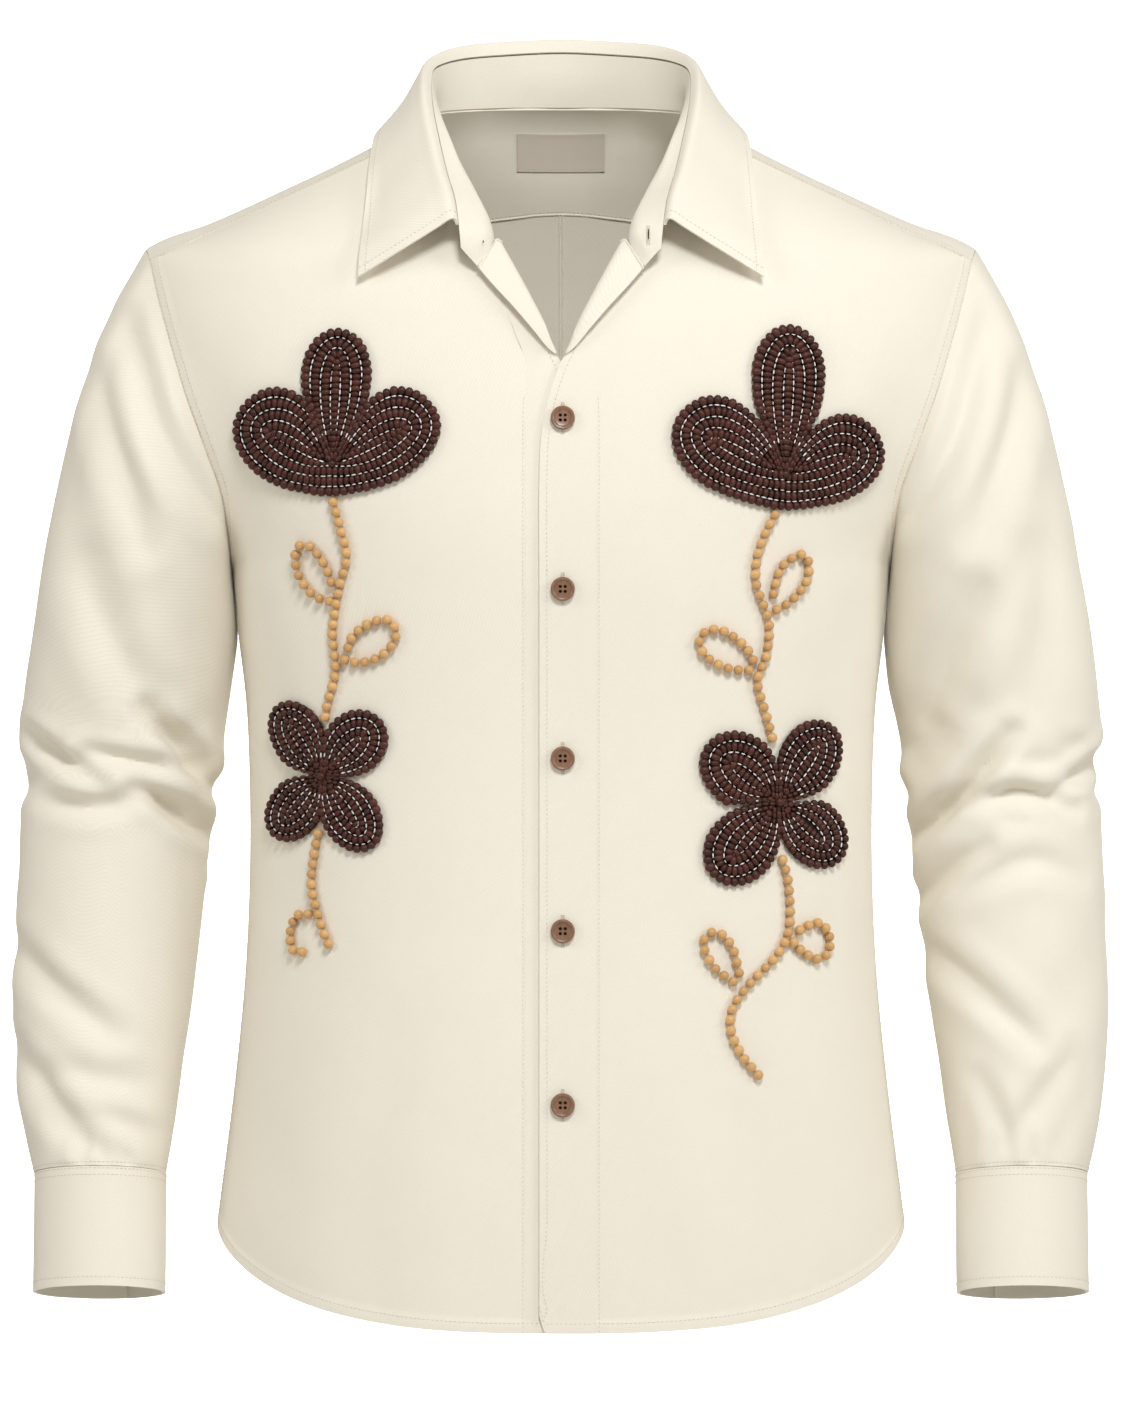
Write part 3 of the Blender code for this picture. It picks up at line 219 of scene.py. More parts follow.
# Sleeve sections: height, inner x, outer x, middle y, half depth, forward tilt in degrees
SLEEVE = (
    (-309, 193.6, 316.6, 12.0, 60.0, 0.0),
    (-322, 195.6, 318.8, 14.0, 59.8, 0.5),
    (-347, 199.4, 321.4, 17.5, 59.0, 1.5),
    (-358, 201.0, 321.6, 18.5, 58.6, 2.0),
    (-369, 202.6, 321.4, 19.0, 58.0, 3.0),
    (-380, 204.2, 321.2, 19.0, 57.4, 4.0),
    (-391, 205.6, 321.4, 18.6, 56.8, 5.0),
    (-402, 207.0, 321.8, 17.8, 56.2, 6.0),
    (-430, 210.2, 323.0, 14.5, 54.8, 8.0),
    (-450, 212.2, 323.8, 11.6, 53.8, 8.6),
    (-474, 214.6, 324.6, 8.0, 52.4, 9.0),
    (-500, 217.4, 325.6, 4.0, 50.6, 9.5),
    (-526, 220.4, 325.4, -0.4, 48.6, 10.0),
    (-550, 224.0, 324.0, -4.4, 46.2, 10.6),
    (-572, 227.2, 321.6, -8.2, 43.8, 11.2),
    (-592, 229.8, 318.4, -12.0, 41.6, 11.6),
    (-619.7, 233.8, 311.8, -17.4, 38.0, 12.0),
)
YOKE_RISE = 0.42          # how steeply the yoke leaves the front seam at the armhole
SHOULDER_SLOPE = 0.50
CUFF = (
    (-620.0, 233.4, 311.6, -17.5, 38.0, 12.0),
    (-654.0, 233.2, 311.4, -24.4, 37.7, 12.0),
    (-688.5, 233.1, 311.3, -31.5, 37.4, 12.0),
)
# Sleeve folds: angle (0 outer, 90 front), height, tilt in mm per degree, half length in
# degrees, half width in mm, depth in mm (minus for a ridge)
SLEEVE_FOLDS = (
    (52, -374, -0.42, 30, 9, 5.0),
    (134, -364, -0.70, 26, 9, 6.0),
    (128, -402, -0.50, 26, 10, 5.5),
    (84, -388, -0.15, 42, 8, -3.5),
    (70, -402, 0.10, 34, 9, 3.6),
    (160, -384, 0.0, 26, 9, -4.0),
    (20, -386, 0.0, 28, 9, 4.5),
    (15, -358, 0.0, 32, 12, -2.6),
    (215, -372, 0.40, 40, 10, 5.0),
    (300, -392, -0.30, 40, 11, 4.4),
    (60, -512, -0.60, 42, 16, 3.0),
    (62, -578, -0.70, 34, 13, 3.2),
    (285, -540, 0.50, 40, 16, 3.0),
    (66, -262, -1.2, 30, 13, 3.0),
    (40, -236, -1.3, 28, 13, 2.6),
)
# Flowers: directions in degrees of the lines between neighbouring petals
FLOWERS = {
    "bloom_right": (60, 112, 270),
    "bloom_left": (62, 112, 270),
    "clover_right": (88, 176, 267, 359),
    "clover_left": (90, 180, 270, 0),
}
# Vine strings: x z of the points that each string of beads passes
VINES = {
    "stem_right_upper": ((-130.5, -225), (-126.5, -240), (-122.8, -257), (-127, -274),
                         (-131, -298), (-129.5, -322), (-134, -341), (-135.3, -349)),
    "stem_right_lower": ((-139.5, -417), (-142, -430), (-143.5, -447), (-140, -463),
                         (-136, -475), (-133.5, -481)),
    "loop_right_left": ((-132.5, -282), (-142, -278.5), (-151, -266), (-152, -252),
                        (-145, -249.5), (-136, -260), (-131.5, -271)),
    "loop_right_right": ((-124, -316), (-114, -317.5), (-102, -313), (-94.5, -303),
                         (-98, -293.5), (-109, -294.5), (-119, -302), (-122, -309)),
    "curl_right": ((-145.5, -464), (-152.5, -465.5), (-156, -475), (-154.5, -485), (-149, -486)),
    "stem_left_upper": ((122.5, -232.5), (117, -243), (112, -258), (112, -274), (119, -294),
                        (117.5, -314), (112.5, -328), (117, -346), (121, -361)),
    "stem_left_lower": ((127, -432), (130.5, -446), (131, -471), (124, -487), (108.5, -503),
                        (98.5, -517), (97.5, -531), (104, -545), (113, -556)),
    "loop_left_right": ((123.5, -287), (131, -282.5), (140, -272), (142, -260), (137, -255),
                        (126, -263), (121.5, -278)),
    "loop_left_left": ((107.5, -322), (96, -321), (84, -315), (79, -306), (84, -299),
                       (94, -300), (105, -308), (110, -316)),
    "leaf_left_right": ((137, -473), (147, -469), (154, -475), (154, -486), (147, -490),
                        (137, -484), (133.5, -480)),
    "leaf_left_left": ((98.5, -502), (88, -494), (82, -483), (83, -475.5), (90, -473.5),
                       (98, -482), (102, -497)),
}

# Sleeve folds drawn on the front view, worn left side: depth, width, then x z of their points
FOLDS_LEFT_SLEEVE = (
    (5.0, 6.0, (206, -420), (231, -399), (255, -370), (264, -358)),
    (3.6, 5.5, (243, -399), (266, -393), (284, -396), (302, -403)),
    (3.4, 5.0, (290, -393), (308, -382), (327, -369)),
    (3.6, 6.0, (212, -457), (231, -436), (249, -424)),
    (2.0, 8.0, (236, -449), (276, -433), (304, -441)),
    (2.8, 8.0, (218, -486), (246, -509), (280, -539)),
    (3.2, 12.0, (246, -276), (226, -321), (208, -366)),
    (2.2, 13.0, (289, -256), (286, -303), (278, -348)),
    (3.0, 9.0, (250, -120), (243, -147), (236, -176), (224, -201), (204, -230)),
    (2.2, 9.0, (272, -147), (264, -184), (254, -216), (246, -247)),
    (1.8, 7.0, (300, -548), (281, -575), (262, -600)),
    (1.6, 6.0, (246, -560), (258, -585), (262, -608)),
    (1.2, 4.0, (275, -596), (277, -618)),
    (1.2, 4.0, (254, -600), (252, -618)),
)
FOLDS_RIGHT_SLEEVE = (
    (5.0, 6.0, (206, -390), (221, -369), (243, -345)),
    (4.4, 6.0, (206, -421), (230, -402), (249, -389)),
    (3.2, 5.0, (281, -370), (251, -376), (221, -381)),
    (3.4, 5.0, (318, -358), (293, -375), (272, -387)),
    (2.6, 6.0, (304, -400), (278, -403), (254, -400)),
    (2.6, 8.0, (323, -486), (299, -509), (264, -535)),
    (2.2, 8.0, (324, -544), (290, -586), (266, -606)),
    (1.5, 8.0, (300, -557), (247, -565)),
    (1.5, 6.0, (271, -582), (240, -595)),
    (3.0, 9.0, (257, -118), (248, -147), (239, -176), (225, -201), (202, -229)),
    (2.4, 9.0, (272, -147), (264, -184), (254, -216), (246, -248)),
    (2.6, 12.0, (282, -262), (262, -310), (240, -345)),
    (1.2, 4.0, (280, -598), (283, -618)),
    (1.2, 4.0, (256, -602), (253, -618)),
)
# Folds on the back of both sleeves, seen from behind
FOLDS_SLEEVE_BACK = (
    (4.4, 7.0, (208, -398), (232, -380), (262, -368)),
    (3.4, 6.0, (322, -392), (296, -404), (262, -402)),
    (3.2, 7.0, (214, -432), (240, -418), (270, -420)),
    (2.6, 9.0, (316, -440), (290, -470), (252, -492)),
    (2.8, 12.0, (276, -210), (262, -262), (246, -312)),
    (2.4, 11.0, (226, -238), (232, -280), (228, -326)),
    (2.0, 9.0, (300, -530), (274, -560), (248, -576)),
    (1.4, 5.0, (268, -594), (270, -618)),
    (1.2, 4.0, (290, -596), (288, -618)),
)
# Soft folds of the body, front then back: depth, width, then x z of their points
FOLDS_FRONT = (
    (1.8, 20.0, (186, -268), (160, -330), (148, -420)),
    (1.6, 18.0, (-184, -270), (-166, -345), (-160, -450)),
    (1.5, 24.0, (92, -560), (120, -630), (132, -700)),
    (1.3, 22.0, (-96, -540), (-112, -620), (-108, -700)),
    (1.6, 16.0, (205, -150), (190, -190), (176, -240)),
    (1.4, 16.0, (-206, -150), (-190, -196), (-178, -240)),
    (1.2, 26.0, (60, -600), (58, -705)),
    (1.1, 26.0, (-180, -560), (-168, -640)),
)
FOLDS_BACK = (
    (2.6, 20.0, (150, -120), (138, -210), (150, -310)),
    (2.4, 20.0, (-152, -120), (-134, -220), (-146, -320)),
    (2.2, 18.0, (182, -300), (120, -372), (40, -402)),
    (2.0, 16.0, (-184, -320), (-120, -385), (-46, -420)),
    (2.0, 24.0, (70, -470), (92, -580), (96, -700)),
    (1.8, 24.0, (-64, -450), (-86, -570), (-100, -700)),
    (1.6, 22.0, (20, -430), (14, -560), (8, -700)),
    (1.6, 18.0, (-178, -400), (-140, -450), (-96, -468)),
)


# Bead rows of each flower: root x z, then for each petal the direction of its axis, its length,
# half widths left and right of the axis, their places along it, and how far below the root the
# rows on that side end
BEAD_PLANS = {
    "bloom_right": ((-130.8, -203.0), (
        (88, 78, 20.5, 20.5, 0.68, 0.68, 0, 0), (152, 64, 26.3, 26.3, 0.45, 0.64, 18.0, 0),
        (25.5, 67, 25.5, 25.5, 0.68, 0.45, 0, 18.0))),
    "bloom_left": ((128.3, -209.0), (
        (87.5, 86, 21.3, 21.3, 0.68, 0.68, 0, 0), (155, 70, 26.6, 26.0, 0.50, 0.66, 20.4, 0),
        (17, 61, 24.6, 24.3, 0.64, 0.42, 0, 20.4))),
    "clover_right": ((-137.0, -383.5), (
        (46, 48, 18.5, 18.5, 0.58, 0.58, 0, 0), (123, 50.5, 16.8, 16.8, 0.50, 0.60, 0, 0),
        (229, 47.5, 17, 17, 0.58, 0.50, 0, 0), (305, 51.5, 18, 17.5, 0.52, 0.58, 0, 0))),
    "clover_left": ((124.9, -398.5), (
        (55, 55.5, 18.5, 19.5, 0.62, 0.54, 0, 0), (141, 54, 21, 22, 0.52, 0.56, 0, 0),
        (230, 58, 20.5, 20.5, 0.60, 0.60, 0, 0), (317, 51.5, 20, 18, 0.52, 0.58, 0, 0))),
}


class Edge(Enum):
    """The four edges of a panel."""

    FIRST_ROW = 0
    LAST_ROW = 1
    FIRST_COLUMN = 2
    LAST_COLUMN = 3


class Side(Enum):
    """The two sides of the shirt, named as its wearer would."""

    LEFT = 1
    RIGHT = -1

    @property
    def word(self) -> str:
        """Name of the side as the solids have it."""
        return self.name.lower()

    @property
    def outer(self) -> Edge:
        """Edge of a front or band that is farther from the middle."""
        return Edge.LAST_COLUMN if self is Side.LEFT else Edge.FIRST_COLUMN

    @property
    def inner(self) -> Edge:
        """Edge of a front or band that is nearer to the middle."""
        return Edge.FIRST_COLUMN if self is Side.LEFT else Edge.LAST_COLUMN


class NodeTree:
    """Adds nodes to a tree and sets or links their inputs."""

    def __init__(self, tree: bpy.types.NodeTree) -> None:
        """Takes the tree that the nodes go into."""
        self.tree = tree

    def add(self, kind: str, inputs: dict | None = None, **settings: object) -> bpy.types.Node:
        """Adds a node.

        Args:
            kind: the node's type.
            inputs: socket name or number to a value or to another node's output.
            settings: properties of the node.

        Returns:
            The new node.
        """
        node = self.tree.nodes.new(kind)
        for key, value in settings.items():
            setattr(node, key, value)
        self.fill(node, inputs or {})
        return node

    def fill(self, node: bpy.types.Node, inputs: dict) -> None:
        """Sets or links a node's inputs.

        Args:
            node: the node.
            inputs: socket name or number to a value or to another node's output.
        """
        for key, value in inputs.items():
            if isinstance(value, bpy.types.NodeSocket):
                self.tree.links.new(value, node.inputs[key])
            else:
                node.inputs[key].default_value = value


class Shader(NodeTree):
    """Nodes of one material, with its colours and their surface."""

    def __init__(self, name: str) -> None:
        """Starts a material of that name with a plain Principled shader.

        Args:
            name: name of the material.
        """
        self.material = bpy.data.materials.new(name)
        self.material.use_nodes = True
        super().__init__(self.material.node_tree)
        self.surface = self.tree.nodes["Principled BSDF"]

    def blend(self, factor: bpy.types.NodeSocket, low: tuple, high: tuple) -> bpy.types.NodeSocket:
        """Mixes two colours.

        Args:
            factor: 0 for the first colour, 1 for the second.
            low: first colour.
            high: second colour.

        Returns:
            The mixed colour's socket.
        """
        ramp = self.add("ShaderNodeValToRGB", {0: factor})
        ramp.color_ramp.elements[0].color = (*low, 1)
        ramp.color_ramp.elements[1].color = (*high, 1)
        return ramp.outputs[0]


@dataclass(frozen=True)
class TwillFinish:
    """Cream cotton twill whose weave follows the cloth's own UV map in metres."""

    name: str = "cream_twill_fine"
    light: tuple = (0.872, 0.822, 0.712)
    dark: tuple = (0.820, 0.764, 0.648)
    pitch: float = 1.6 * MM
    lean: float = 0.62
    bump: float = 0.10

    def make(self) -> bpy.types.Material:
        """Builds the material.

        Returns:
            The material.
        """
        shader = Shader(self.name)
        where = shader.add("ShaderNodeUVMap", uv_map="cloth").outputs[0]
        turned = shader.add("ShaderNodeMapping", {0: where, "Rotation": (0, 0, self.lean)}).outputs[0]
        weave = shader.add("ShaderNodeTexWave", {
            "Vector": turned, "Scale": 0.314 / self.pitch, "Distortion": 3.2, "Detail": 3.0,
            "Detail Scale": 2.2}, wave_type="BANDS", bands_direction="X").outputs["Fac"]
        fibre = shader.add("ShaderNodeTexNoise", {
            "Vector": where, "Scale": 900.0, "Detail": 3.0, "Roughness": 0.6}).outputs[0]
        slub = shader.add("ShaderNodeTexNoise", {
            "Vector": where, "Scale": 26.0, "Detail": 4.0, "Roughness": 0.55}).outputs[0]
        height = shader.add("ShaderNodeMath", {0: weave, 1: fibre}, operation="ADD").outputs[0]
        tone = shader.add("ShaderNodeMath", {0: weave, 1: slub}, operation="MULTIPLY").outputs[0]
        tone = shader.add("ShaderNodeMath", {0: tone, 1: fibre}, operation="ADD").outputs[0]
        tone = shader.add("ShaderNodeMapRange", {0: tone, 1: 0.35, 2: 1.25}).outputs[0]
        bump = shader.add("ShaderNodeBump", {
            "Height": height, "Strength": self.bump, "Distance": 0.4 * MM}).outputs[0]
        shader.fill(shader.surface, {
            "Base Color": shader.blend(tone, self.dark, self.light), "Roughness": 0.86,
            "Normal": bump, "Sheen Weight": 0.18, "Sheen Roughness": 0.5, "Specular IOR Level": 0.25})
        return shader.material


@dataclass(frozen=True)
class BeadFinish:
    """Turned bead with a soft shine and a tone of its own."""

    name: str
    dark: tuple
    light: tuple
    rough: float = 0.42
    coat: float = 0.12

    def make(self) -> bpy.types.Material:
        """Builds the material.

        Returns:
            The material.
        """
        shader = Shader(self.name)
        tone = shader.add("ShaderNodeAttribute", attribute_name="tone").outputs["Fac"]
        place = shader.add("ShaderNodeTexCoord").outputs["Object"]
        grain = shader.add("ShaderNodeTexNoise", {
            "Vector": place, "Scale": 700.0, "Detail": 3.0}).outputs[0]
        both = shader.add("ShaderNodeMath", {0: tone, 1: grain}, operation="ADD").outputs[0]
        both = shader.add("ShaderNodeMath", {0: both, 1: 0.5}, operation="MULTIPLY").outputs[0]
        bump = shader.add("ShaderNodeBump", {
            "Height": grain, "Strength": 0.08, "Distance": 0.1 * MM}).outputs[0]
        shader.fill(shader.surface, {
            "Base Color": shader.blend(both, self.dark, self.light), "Roughness": self.rough,
            "Normal": bump, "Coat Weight": self.coat, "Coat Roughness": 0.3,
            "Specular IOR Level": 0.3})
        return shader.material


@dataclass(frozen=True)
class GrainFinish:
    """Finish with one fine pattern in its colour and, where it has one, in its relief."""

    name: str
    dark: tuple
    light: tuple
    rough: float
    scale: float
    drawn: float = 1.0
    ribbed: bool = False
    bump: float = 0.0
    pattern: tuple = ()
    gloss: tuple = ()

    def make(self) -> bpy.types.Material:
        """Builds the material.

        Returns:
            The material.
        """
        shader = Shader(self.name)
        place = shader.add("ShaderNodeTexCoord").outputs["Object"]
        if self.drawn != 1.0:
            place = shader.add("ShaderNodeMapping", {0: place, "Scale": (1.0, 1.0, self.drawn)}).outputs[0]
        inputs = {"Vector": place, "Scale": self.scale, **dict(self.pattern)}
        if self.ribbed:
            grain = shader.add("ShaderNodeTexWave", inputs, wave_type="BANDS",
                               bands_direction="Z").outputs["Fac"]
        else:
            grain = shader.add("ShaderNodeTexNoise", inputs).outputs[0]
        values = {"Base Color": shader.blend(grain, self.dark, self.light), "Roughness": self.rough,
                  **dict(self.gloss)}
        if self.bump:
            values["Normal"] = shader.add("ShaderNodeBump", {
                "Height": grain, "Strength": self.bump, "Distance": 0.1 * MM}).outputs[0]
        shader.fill(shader.surface, values)
        return shader.material


@dataclass
class Finishes:
    """All finishes of the shirt."""

    cloth: bpy.types.Material
    dark_bead: bpy.types.Material
    tan_bead: bpy.types.Material
    white_thread: bpy.types.Material
    sewing_thread: bpy.types.Material
    button: bpy.types.Material
    tape: bpy.types.Material
    # near-black finish for painted shade between beads, in button holes and in the neck slit, also used for
    # the dark thread dot at the neck
    ground: bpy.types.Material

    @staticmethod
    def thread(name: str, dark: tuple, light: tuple) -> GrainFinish:
        """Plied sewing thread."""
        return GrainFinish(name, dark, light, 0.7, 2600.0, bump=0.3, gloss=(("Sheen Weight", 0.2),))

    @staticmethod
    def matt(name: str, colour: tuple) -> GrainFinish:
        """Matt finish such as the studio's paper or the painted shade between beads."""
        return GrainFinish(name, tuple(0.985 * c for c in colour), colour, 0.9, 3.0)

    @classmethod
    def all(cls) -> "Finishes":
        """Makes every finish once.

        Returns:
            The finishes.
        """
        return cls(
            TwillFinish().make(),
            BeadFinish("dark_brown_bead", (0.026, 0.0062, 0.0042), (0.098, 0.027, 0.017), 0.46,
                       0.06).make(),
            BeadFinish("honey_bead", (0.50, 0.27, 0.095), (0.74, 0.45, 0.19), 0.34, 0.2).make(),
            cls.thread("white_thread", (0.80, 0.77, 0.72), (0.95, 0.93, 0.90)).make(),
            cls.thread("cream_thread", (0.56, 0.48, 0.36), (0.76, 0.69, 0.56)).make(),
            GrainFinish("brown_horn", (0.150, 0.070, 0.038), (0.330, 0.180, 0.105), 0.34, 420.0, 0.3,
                        pattern=(("Detail", 5.0), ("Distortion", 0.8)),
                        gloss=(("Coat Weight", 0.3), ("Coat Roughness", 0.2))).make(),
            GrainFinish("taupe_tape", (0.62, 0.555, 0.47), (0.72, 0.65, 0.565), 0.55, 640.0,
                        ribbed=True, bump=0.15, pattern=(("Distortion", 0.5),),
                        gloss=(("Sheen Weight", 0.3),)).make(),
            # near-black matt finish that paints the shade between beads, in button holes and in the neck
            # slit; it also colours the dark thread dot at the neck
            cls.matt("bead_ground", (0.016, 0.006, 0.004)).make(),
        )


def curve(xs: Sequence, ys: Sequence) -> Callable:
    """Smooth curve through points with rising x.

    Args:
        xs: the rising values.
        ys: the curve's value at each.

    Returns:
        The curve as a function of arrays.
    """
    xs = np.asarray(xs, float)
    ys = np.asarray(ys, float)
    step = np.diff(xs)
    slope = np.diff(ys) / step
    tangent = np.zeros(len(xs))
    tangent[0] = slope[0]
    tangent[-1] = slope[-1]
    same = slope[1:] * slope[:-1] > 0
    harmonic = 2 * slope[1:] * slope[:-1] / np.where(same, slope[1:] + slope[:-1], 1)
    tangent[1:-1] = np.where(same, harmonic, 0)

    def value(x: np.ndarray) -> np.ndarray:
        """The curve's value at each x.

        Args:
            x: where to read it.

        Returns:
            The values.
        """
        x = np.clip(np.asarray(x, float), xs[0], xs[-1])
        k = np.clip(np.searchsorted(xs, x) - 1, 0, len(step) - 1)
        w = (x - xs[k]) / step[k]
        rise = ys[k] * (1 - w) ** 2 * (1 + 2 * w) + ys[k + 1] * w ** 2 * (3 - 2 * w)
        lean = tangent[k] * w * (1 - w) ** 2 - tangent[k + 1] * w ** 2 * (1 - w)
        return rise + lean * step[k]

    return value


def run_of(line: np.ndarray) -> np.ndarray:
    """Distance along a line at each of its points."""
    return np.concatenate([[0], np.cumsum(np.linalg.norm(np.diff(line, axis=0), axis=1))])


def path(points: Sequence, count: int) -> np.ndarray:
    """Points at even steps along a smooth curve through the given points.

    Args:
        points: the points that it passes.
        count: how many points to return.

    Returns:
        The points as rows.
    """
    points = np.asarray(points, float)
    before = 2 * points[0] - points[1]
    after = 2 * points[-1] - points[-2]
    p = np.vstack([before, points, after])
    w = np.arange(0, 1, 0.05)[:, None]
    fine = [0.5 * (2 * p[k] + (p[k + 1] - p[k - 1]) * w
                   + (2 * p[k - 1] - 5 * p[k] + 4 * p[k + 1] - p[k + 2]) * w ** 2
                   + (3 * p[k] - p[k - 1] - 3 * p[k + 1] + p[k + 2]) * w ** 3)
            for k in range(1, len(p) - 2)]
    fine = np.concatenate(fine + [points[-1:]])
    run = run_of(fine)
    at = np.linspace(0, run[-1], count)
    return np.stack([np.interp(at, run, fine[:, k]) for k in range(fine.shape[1])], axis=1)


def hermite(a: np.ndarray, lean_a: np.ndarray, b: np.ndarray, lean_b: np.ndarray,
            v: np.ndarray) -> np.ndarray:
    """Curve between two points with a direction at each end.

    Args:
        a: first point.
        lean_a: direction there.
        b: last point.
        lean_b: direction there.
        v: shares of the way, as an array.

    Returns:
        A point for each share.
    """
    v = v[:, None]
    return ((1 + 2 * v) * (1 - v) ** 2 * a + v * (1 - v) ** 2 * lean_a
            + v ** 2 * (3 - 2 * v) * b - v ** 2 * (1 - v) * lean_b)


def virtual_width(half_width: np.ndarray, depth: np.ndarray, full_depth: np.ndarray) -> np.ndarray:
    """Half width of the section that passes an edge point short of its own side."""
    share = 1 - (depth / full_depth) ** 2
    return half_width / share ** (1 / FULLNESS)


def hem_rise(share: np.ndarray) -> np.ndarray:
    """How the hem climbs from the centre (0) to the side corner (1)."""
    return 1 - (1 - np.clip(share, 0, 1) ** 3) ** 0.625


def below_v(height: np.ndarray) -> np.ndarray:
    """0 above the V, rising to 1 where the two fronts lie on each other."""
    return np.clip((LAP_TOP - height) / LAP_FADE, 0, 1)


def smooth_step(value: np.ndarray, low: float, high: float) -> np.ndarray:
    """0 below low, 1 above high and soft between them."""
    share = np.clip((value - low) / (high - low), 0, 1)
    return share * share * (3 - 2 * share)


def mirrored(grid: np.ndarray) -> np.ndarray:
    """The same grid on the other side, with its columns turned round to stay outward."""
    return (grid * np.array([-1, 1, 1]))[:, ::-1]


def unit(vectors: np.ndarray) -> np.ndarray:
    """Vectors of length one in the same directions."""
    return vectors / np.maximum(np.linalg.norm(vectors, axis=-1, keepdims=True), 1e-12)


def grid_normals(grid: np.ndarray, wrap: bool = False) -> np.ndarray:
    """Unit normals of a grid of points.

    Args:
        grid: rows and columns of points.
        wrap: whether its columns close into a ring.

    Returns:
        A normal for each point.
    """
    along = np.gradient(grid, axis=0)
    across = np.gradient(grid, axis=1)
    if wrap:
        across = (np.roll(grid, -1, axis=1) - np.roll(grid, 1, axis=1)) / 2
    return unit(np.cross(across, along))


def spline(grid: np.ndarray, at: np.ndarray, wrap: bool = False) -> np.ndarray:
    """Reads a grid between its rows on a smooth curve through them.

    Args:
        grid: rows of points.
        at: row numbers with fractions.
        wrap: whether the last row is followed by the first.

    Returns:
        A row for each number.
    """
    shift = 0
    if wrap:
        shift = 3
        grid = np.concatenate([grid[-3:], grid, grid[:4]])
    step = np.linalg.norm(np.diff(grid, axis=0), axis=2).mean(axis=1)
    step = np.maximum(step, 1e-7)[:, None, None]
    slope = np.diff(grid, axis=0) / step
    tangent = np.empty_like(grid)
    weight = step[1:] + step[:-1]
    tangent[1:-1] = (slope[1:] * step[:-1] + slope[:-1] * step[1:]) / weight
    tangent[0] = 2 * slope[0] - tangent[1]
    tangent[-1] = 2 * slope[-1] - tangent[-2]
    at = at + shift
    k = np.clip(at.astype(int), 0, len(grid) - 2)
    w = (at - k)[:, None, None]
    h = step[k]
    return ((1 + 2 * w) * (1 - w) ** 2 * grid[k] + w * (1 - w) ** 2 * h * tangent[k]
            + w ** 2 * (3 - 2 * w) * grid[k + 1] - w ** 2 * (1 - w) * h * tangent[k + 1])


def marks(lengths: np.ndarray, target: float, first: tuple = (), last: tuple = ()) -> np.ndarray:
    """Row or column numbers for a finer grid.

    Args:
        lengths: mean length of each step of the coarse grid.
        target: longest step of the fine one.
        first: distances from the first edge that get a line of their own.
        last: distances from the last edge that do.

    Returns:
        The numbers with fractions, rising.
    """
    even = []
    for k, length in enumerate(lengths):
        count = max(1, math.ceil(length / target))
        even.extend(k + m / count for m in range(count))
    even.append(len(lengths))
    run = np.concatenate([[0], np.cumsum(lengths)])
    own = [float(np.interp(d, run, np.arange(len(run)))) for d in first]
    own += [float(np.interp(run[-1] - d, run, np.arange(len(run)))) for d in last]
    spare = [e for e in even if e in (0, len(lengths))
             or all(abs(np.interp(e, np.arange(len(run)), run)
                        - np.interp(o, np.arange(len(run)), run)) > target * 0.3 for o in own)]
    return np.array(sorted(set(spare + own)))


def lengths_of(grid: np.ndarray) -> np.ndarray:
    """Mean distance from each row of a grid to the next."""
    return np.linalg.norm(np.diff(grid, axis=0), axis=2).mean(axis=1)


def press(grid: np.ndarray, normals: np.ndarray, folds: tuple, sign: float,
          facing: float) -> np.ndarray:
    """How far folds drawn on the front or back view move each point, inwards positive.

    Args:
        grid: the points.
        normals: their normals.
        folds: table of depth, width and points in x and z.
        sign: side of the table, 1 or -1 for x.
        facing: -1 for the front, 1 for the back.

    Returns:
        The move of each point in metres.
    """
    seen = np.clip(0.5 + facing * normals[..., 1] * 1.3, 0, 1)
    spot = np.stack([grid[..., 0] * sign, grid[..., 2]], axis=-1)
    push = np.zeros(grid.shape[:2])
    for depth, width, *line in folds:
        line = path(np.array(line, float) * MM, 24)
        run = run_of(line)
        best = np.full(grid.shape[:2], 1e9)
        place = np.zeros(grid.shape[:2])
        offside = np.zeros(grid.shape[:2])
        for a, b, start in zip(line[:-1], line[1:], run):
            leg = b - a
            size = np.linalg.norm(leg)
            along = np.clip(((spot - a) @ leg) / size ** 2, 0, 1)
            gap = spot - a - along[..., None] * leg
            away = np.linalg.norm(gap, axis=-1)
            nearer = away < best
            best = np.where(nearer, away, best)
            place = np.where(nearer, (start + along * size) / run[-1], place)
            offside = np.where(nearer, gap[..., 0] * leg[1] - gap[..., 1] * leg[0], offside)
        share = best / (width * MM)
        taper = np.sin(math.pi * np.clip(0.12 + 0.76 * place, 0, 1)) ** 0.8
        soft = np.where(offside > 0, 1.0, 0.62)
        trough = np.exp(-(share / soft) ** 2)
        ridge = 0.42 * np.exp(-((share - 1.9) / 0.9) ** 2)
        push += depth * MM * taper * seen * (trough - ridge)
    return push


